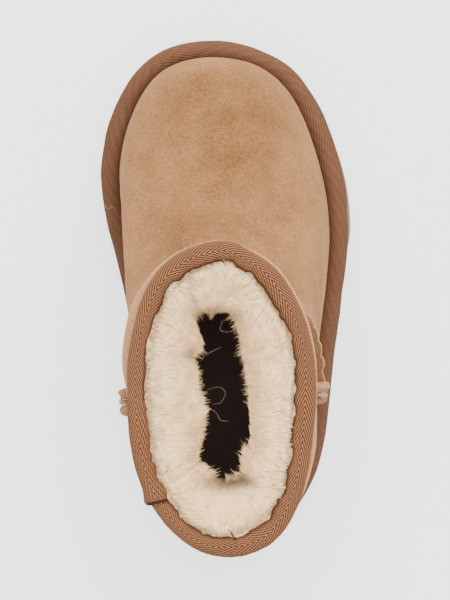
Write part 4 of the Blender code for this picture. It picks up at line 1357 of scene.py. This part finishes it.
# the lapped end, whose twill goes on from the tape beneath it
lap_rows, lap_columns = LAP_SHAPE
lap_widths = np.linspace(0.0, widths[-1] - LAP_SHORT, lap_rows)
lap_tape = smoothed(fine_tape, np.interp(lap_widths, widths, np.arange(TAPE_ROWS)))
run = np.linspace(run_start, run_end, lap_columns)
slant = LAP_SLANT * (lap_widths / lap_widths[-1] - 0.5)[:, None]
runs = run[None, :] + slant * np.linspace(0, 1, lap_columns) ** 3
lap = np.stack([at_turn(row, crest_of(along_run)) for row, along_run in zip(lap_tape, runs)])
lift = LAP_LIFT * ramp(run, run_start, LAP_RAMP) ** 0.7
flare = ramp(run - run_end, -LAP_FLARE, LAP_FLARE) ** 1.7
outer = np.clip(1 - lap_widths / spine_width, 0, 1)[:, None]
lift = lift[None, :] + LAP_STANDS * flare[None, :] * outer - LAP_SUNK
lap_ahead = lead(lap_widths - spine_width, TAPE_SPINE, TAPE_ANGLE)[:, None]
lap_relief, lap_groove = twill((runs - lap_ahead) * ribs / tape_length, lap_widths)
# painted shadow: a dark line along the inner two thirds of the cut end
lap_groove[lap_rows // 3 :, -3:] = 1
normal = facing(lap, ring=False)
face = lap + normal * (lift + (lap_relief - RIB_MIDDLE) * TAPE_RIB)[..., None]
under_face = (lap + normal * (lift - TAPE)[..., None])[::-1]
lap_looks = {"groove": (lap_groove, 1), "shade": (1, 1)}
lap_mesh = two_sided("collar_tape_end", face, under_face, ring=False, **lap_looks)
piece("collar_tape_end", lap_mesh, collar_tape, "herringbone_tape")

# the cut end frays a little
picks = draw.choice(np.arange(2, lap_rows - 2), FRAYED, replace=False)
ends = face[picks, -1]
onward = unit(ends - face[picks, -3])
q = np.linspace(-0.4, 1, 5)[None, :, None]
long = draw.uniform(*FRAY_LENGTH, (FRAYED, 1, 1))
bent = draw.normal(0, 0.15 * MM, (FRAYED, 1, 3)) * q**2
frayed = ends[:, None] + onward[:, None] * long * q + bent
fray = strands("collar_tape_fray", frayed, FRAY_RADIUS, draw, sides=4)
piece("collar_tape_fray", fray, thread, "herringbone_tape")


# ---------------------------------------------------------------- fleece
# The sheepskin's own wool, which fills the leg but for a narrow slot and lines the foot. Its
# body is a soft swelling, and locks of single hairs stand on it.

FLEECE = 7.5 * MM  # its depth in the foot
LINING = WALL + 0.6 * MM  # from the upper's face in to the back of the pile
BINDING_DEPTH = 9.5 * MM
SLOT_MIDDLE = -33.9 * MM
SLOT_HALF = 25.7 * MM
# the slot's two sides: mm along the boot, and mm across it on the left and on the right
SLOT_SIDES = (
    (-8.2, -9.2, 2.0), (-10.5, -8.0, 2.2), (-13, -6.9, 3.0), (-15.7, -5.9, 3.4),
    (-19, -6.7, 3.8), (-22.5, -8.7, 4.7), (-25, -7.7, 5.0), (-28, -7.6, 5.8),
    (-31, -7.2, 6.4), (-35, -5.8, 6.4), (-39, -4.5, 6.6), (-45, -5.2, 6.7),
    (-48.2, -5.7, 6.4), (-50, -6.3, 5.6), (-52, -6.9, 4.0), (-54, -6.6, 4.1),
    (-55.5, -4.9, 3.8), (-57.3, -3.1, 3.9), (-59.6, -2.2, 2.8),
)
PILE_TO_SLOT = ((0, 0), (0.05, -1.0), (0.2, -1.9), (0.45, -0.4), (0.7, 3.6), (0.88, 9.5), (1, 18))
PILE_START = (1.0, -0.9, -3.2)  # under the tape's inner edge, as a row of the tape
PILE_STEPS = 601  # in which the fall from tape to slot is smoothed
PILE_ROUNDS = 60
PILE_ROWS = 38
PILE_COLUMNS = 380
PILE_SUNK = 1.5 * MM
SLOT_BARE = 4.1 * MM  # how far the hairs reach over the slot
THROAT_Z = 66 * MM
FLEECE_LEVELS = (2.8, 1.4)  # levels of its face and of its back, in the foot
LINING_LEVELS = (0.9, 1.7, 2.5, 3.3, 3.9, 4.4)
# Troughs parted in the wool: from and to (mm), half width and depth in mm.
TROUGHS = (
    (-12.5, 2.5, -8.0, -8.0, 1.8, 2.6),
    (5.0, 2.0, 9.0, -1.0, 2.2, 1.6),
    (-9.5, -67.0, -6.0, -63.0, 2.4, 2.0),
    (3.0, -57.5, 8.0, -60.0, 1.7, 3.0),
    (-15.0, -22.0, -8.5, -23.5, 1.5, 1.6),
    (-16.0, -38.0, -7.0, -37.0, 1.6, 1.4),
    (-15.5, -52.0, -9.0, -51.0, 1.8, 1.8),
    (8.0, -20.0, 14.0, -17.0, 1.5, 1.4),
    (7.5, -34.0, 15.5, -33.0, 1.5, 1.2),
    (8.0, -48.0, 15.0, -50.0, 1.8, 1.6),
)
HAIRS = 36000
HAIR_START = 0.03  # share of the way to the slot where the hairs begin
LOCKS = 1500
HAIR_PIECES = 3
HAIR_RADII = (0.085 * MM, 0.07 * MM, 0.016 * MM)
HAIR_LENGTH = (4.2 * MM, 6.4 * MM)
# where the wool lies in its own shade: middle and half sizes in mm, and how much
DUSKS = (
    (0.8, -60.8, 5.8, 2.3, 1.0),
    (6.5, -60.3, 2.6, 1.5, 0.5),
    (-10.6, -20.4, 2.2, 1.2, 0.5),
    (-9.6, 0.5, 1.0, 4.0, 0.3),
    (-10.5, -45.5, 2.5, 1.4, 0.3),
    (-8.0, -59.5, 1.6, 3.0, 0.2),
    (11.5, -12.0, 2.0, 1.2, 0.15),
    (-2.8, -8.4, 6.2, 1.9, 0.85),
)
FRINGE = 2100
FRINGE_REACH = (2.0 * MM, 5.5 * MM)
FRINGE_RADII = (0.07 * MM, 0.05 * MM, 0.015 * MM)
# single long hairs that have come loose over the slot and the tape: points in mm
CURLS = (
    ((-0.6, -9, 88), (-1.6, -12, 89), (-0.3, -13, 89.5), (2.4, -13, 88)),
    ((-8.0, -22.8, 86), (-6.6, -20.9, 88), (-4.0, -19.3, 89), (-1.4, -18.1, 88)),
    ((-6.0, -32.0, 86), (-2.0, -30.9, 88), (0.1, -32.6, 89), (-1.2, -35.8, 88), (-4.0, -36.6, 86)),
    ((-5.5, -38, 86), (-3, -39, 88), (-1.5, -41.5, 89), (1.0, -42, 88)),
    ((-12.2, 12.4, 101.5), (-13.6, 16.2, 95), (-11.8, 17.6, 93), (-10.6, 14.6, 97), (-9, 13, 102)),
    ((-41.5, 30.2, 27.0), (-40.4, 28.6, 28.2), (-39.2, 29.4, 28.4), (-38.2, 28.8, 27.4)),
)
# a dark loose thread at the back of the collar
BURR = ((3.4, -78.4, 109.6), (2.7, -77.6, 110.6), (1.9, -76.0, 111.2), (0.9, -75.0, 111.0))
BURR_RADII = (0.36 * MM, 0.14 * MM)
CURL_STEPS = 16
CURL_RADIUS = 0.026 * MM
HAIR_RISE = 0.45  # how much a hair stands, and how much it lies along the wool
HAIR_LIE = 0.8
HAIR_SUNK = 0.4 * MM
HAIR_BOW = 0.17  # how far its middle bows up, as a share of its length
HAIR_STRAY = 0.25 * MM
KNEE_STRAY = 0.2 * MM
BATCH = 2000  # hairs whose nearest locks are found at one time


def slot_outline(u, out=0.0):
    """The dark slot's outline in plan, moved out by that much, at the stations' angles."""
    table = np.array(SLOT_SIDES)[::-1] * MM

    def line(u):
        x, y = column("collar_x", u), column("collar_y", u)
        square = (x**8 + y**8) ** (1 / 8)
        at = SLOT_MIDDLE + SLOT_HALF * y / square
        left, right = (np.interp(at, table[:, 0], table[:, i]) for i in (1, 2))
        return np.stack([(left + right) / 2 + (right - left) / 2 * x / square, at], 1)

    return line(u) + outward(line, u) * out


def parted(points):
    """How far the wool sinks at points: the troughs, and the softer valleys between locks."""
    sink = 0.0
    for x0, y0, x1, y1, wide, deep in TROUGHS:
        start, run = np.array((x0, y0)) * MM, np.array((x1 - x0, y1 - y0)) * MM
        off = points[..., :2] - start
        share = np.clip((off @ run) / (run @ run), 0, 1)[..., None]
        away = np.linalg.norm(off - share * run, axis=-1)
        sink = sink + deep * MM * np.exp(-((away / (wide * MM)) ** 2))
    return sink - 1.0 * MM * mottle(points, 9 * MM, 41) - 0.7 * MM * mottle(points, 4.5 * MM, 42)


fall = read(PILE_TO_SLOT, np.linspace(0, 1, PILE_STEPS))
for _ in range(PILE_ROUNDS):
    fall[1:-1] = (fall[:-2] + fall[1:-1] + fall[2:]) / 3
fall = fall[::10]  # one in ten is enough to read it by


def pile(u, way):
    """The wool's surface from the tape (way 0) to the slot (way 1)."""
    start = tape_row(u, *PILE_START)
    slot = slot_outline(u, SLOT_BARE)
    plan = start[:, :2] + (slot - start[:, :2]) * way[:, None]
    fallen = np.interp(way, np.linspace(0, 1, len(fall)), fall)
    points = raised(plan, start[:, 2] - fallen * MM)
    points[:, 2] -= parted(points) * ramp(way, 0, 0.12) + PILE_SUNK * ramp(way, 0, 0.1)
    return points


u = np.linspace(0, FULL_TURN, PILE_COLUMNS, endpoint=False)
top = np.stack([pile(u, np.full(len(u), way)) for way in np.linspace(0, 1, PILE_ROWS)])
inner_foot = sole_outline(u, -(FEATHER_INSET + LINING + FLEECE))
throat = inner_foot + 0.8 * (slot_outline(u, SLOT_BARE) - inner_foot)
under = [raised(throat, THROAT_Z)]
under += [last(u, level, -(LINING + FLEECE)) for level in FLEECE_LEVELS]
for deep in (FLEECE, 0):
    under.append(sole_row(u, -(FEATHER_INSET + LINING + deep), MIDSOLE_TOP + LINING))
bound = EDGE - BINDING_DEPTH / RIM_BELOW_TOP
under += [last(u, level, -LINING) for level in (*LINING_LEVELS, bound - 0.1)]
under.append(tape_row(u, 1.0, -0.5, -BINDING_DEPTH / MM))
fleece_mesh = two_sided("fleece_pile", top, under)

wool_base = Finish("fleece_pile")
tufts = wool_base.noise(2.2 * MM, 3.0, 0.6)
colour = wool_base.mix(tufts, (0.80, 0.56, 0.33), (0.92, 0.70, 0.46))
shadow = wool_base.between(wool_base.coordinate(2), 60 * MM, 80 * MM)
wool_base.coat(
    base_color=wool_base.mix(shadow, (0.03, 0.018, 0.012), colour),
    roughness=0.95,
    normal=wool_base.bump(tufts, 0.8 * MM),
)
piece("fleece_pile", fleece_mesh, wool_base, "fleece", "fleece_lining")

# the hairs: roots spread evenly over the wool, in locks whose tips draw together
draw = np.random.default_rng(7)


def scattered(count):
    """Roots spread evenly over the wool: points, normals, ways to the slot, share of way."""
    u = draw.uniform(0, FULL_TURN, 4 * count)
    way = draw.uniform(HAIR_START, 1, 4 * count)
    here = pile(u, way)
    across = pile(u + 0.02, way) - pile(u - 0.02, way)
    inward = pile(u, np.minimum(way + 0.01, 1)) - pile(u, np.maximum(way - 0.01, 0))
    normal = np.cross(across, inward)
    area = np.linalg.norm(normal, axis=1)
    keep = draw.choice(len(u), count, replace=False, p=area / area.sum())
    normal = normal[keep] / area[keep, None]
    normal = normal * np.sign(normal[:, 2:])
    return here[keep], normal, unit(inward[keep]), way[keep]


def swirled(points, lean, normal):
    """The lie of the wool: toward the slot, turned to the sides by slow swirls."""
    side = np.cross(normal, lean)
    turn = 0.9 * mottle(points, 12 * MM, 51) + 0.35 * mottle(points, 5 * MM, 52)
    return lean * np.cos(turn)[:, None] + side * np.sin(turn)[:, None]


lock_root, lock_normal, lock_lean, _ = scattered(LOCKS)
lock_long = draw.uniform(*HAIR_LENGTH, (LOCKS, 1))
lock_lie = swirled(lock_root, lock_lean, lock_normal)
lock_tip = lock_root + lock_long * (HAIR_RISE * lock_normal + HAIR_LIE * lock_lie)
root, normal, lean, way = scattered(HAIRS)
nearest = np.empty(HAIRS, int)
for first in range(0, HAIRS, BATCH):
    some = slice(first, first + BATCH)
    nearest[some] = ((root[some, None] - lock_root[None]) ** 2).sum(-1).argmin(1)
long = draw.uniform(*HAIR_LENGTH, (HAIRS, 1))
lie = swirled(root, lean, normal)
own_tip = root + long * (HAIR_RISE * normal + HAIR_LIE * lie)
together = draw.uniform(0.05, 0.5, (HAIRS, 1))
tip = own_tip + (lock_tip[nearest] - own_tip) * together
tip = tip + draw.normal(0, HAIR_STRAY, tip.shape)
knee = root + (tip - root) * 0.5 + normal * long * HAIR_BOW
knee = knee + draw.normal(0, KNEE_STRAY, tip.shape)
paths = np.stack([root - normal * HAIR_SUNK, knee, tip], 1)
# finer hairs that reach out over the slot, one by one
edge_u = draw.uniform(0, FULL_TURN, FRINGE)
edge_way = draw.uniform(0.9, 1.0, FRINGE)
edge_root = pile(edge_u, edge_way)
edge_lean = pile(edge_u, 0 * edge_way + 1) - pile(edge_u, 0 * edge_way + 0.9)
edge_lean = unit(edge_lean * (1, 1, 0))
edge_lean = (edge_lean + swirled(edge_root, edge_lean, 0 * edge_lean + (0, 0, 1))) / 2
reach = draw.uniform(*FRINGE_REACH, (FRINGE, 1))
edge_tip = edge_root + reach * edge_lean + (0, 0, 1.0 * MM) + draw.normal(0, 0.5 * MM, (FRINGE, 3))
edge_knee = (edge_root + edge_tip) / 2 + (0, 0, 0.8 * MM)
fringe_paths = np.stack([edge_root - (0, 0, 0.5 * MM), edge_knee, edge_tip], 1)
hair = Finish("fleece_hair")
tint = hair.attribute("tint")
along_hair = hair.attribute("tip")
patch = hair.noise(10 * MM, 2.0)
colour = hair.mix(tint, (0.98, 0.71, 0.388), (1.0, 0.82, 0.515))
colour = hair.mix(hair.between(patch, 0.45, 0.7) * 0.8, colour, (0.87, 0.60, 0.315))
locks = hair.noise(4 * MM, 2.0)
colour = hair.mix(hair.between(locks, 0.5, 0.72) * 0.6, colour, (0.75, 0.525, 0.288))
back = hair.coordinate(1) * -1
colour = hair.mix(hair.between(back, 50 * MM, 75 * MM) * 0.4, colour, (1.0, 0.74, 0.37))
colour = hair.mix(hair.attribute("dusk"), colour, (0.15, 0.095, 0.058))
# painted light: the hair glows a little in its own colour
hair.coat(
    base_color=hair.mix(hair.between(along_hair, 0.0, 0.55), (0.86, 0.60, 0.36), colour),
    roughness=0.95,
    specular_ior_level=0.1,
    emission_color=colour,
    emission_strength=0.26,
)
# painted shade: the dusks' spots, and the wool beside the tape, in the tape's shade
dusk = np.clip(spots(paths[:, 2], DUSKS), 0, 1) + 0.45 * np.clip(1 - way / 0.11, 0, 1)
dusk = np.clip(dusk, 0, 1)
for i in range(HAIR_PIECES):
    some = slice(i, None, HAIR_PIECES)
    mesh = strands(f"fleece_hair_{i}", paths[some], HAIR_RADII, draw, dusk=dusk[some])
    piece(f"fleece_hair_{i}", mesh, hair, "fleece")
dusk = np.clip(spots(fringe_paths[:, 2], DUSKS), 0, 1)
mesh = strands("fleece_fringe", fringe_paths, FRINGE_RADII, draw, dusk=dusk)
piece("fleece_fringe", mesh, hair, "fleece")
curls = np.stack([smoothed(np.array(curl) * MM, CURL_STEPS) for curl in CURLS])
loose = Finish("fleece_loose_hair")
loose.coat(base_color=(0.40, 0.33, 0.28), roughness=0.6)
piece("fleece_curls", strands("fleece_curls", curls, CURL_RADIUS, draw, sides=5), loose, "fleece")
burr = smoothed(np.array(BURR) * MM, CURL_STEPS)[None]
burr = strands("fleece_burr", burr, np.linspace(*BURR_RADII, CURL_STEPS), draw, sides=6)
dark_thread = Finish("dark_thread")
dark_thread.coat(base_color=(0.035, 0.016, 0.009), roughness=0.8, specular_ior_level=0.1)
piece("fleece_burr", burr, dark_thread, "fleece")
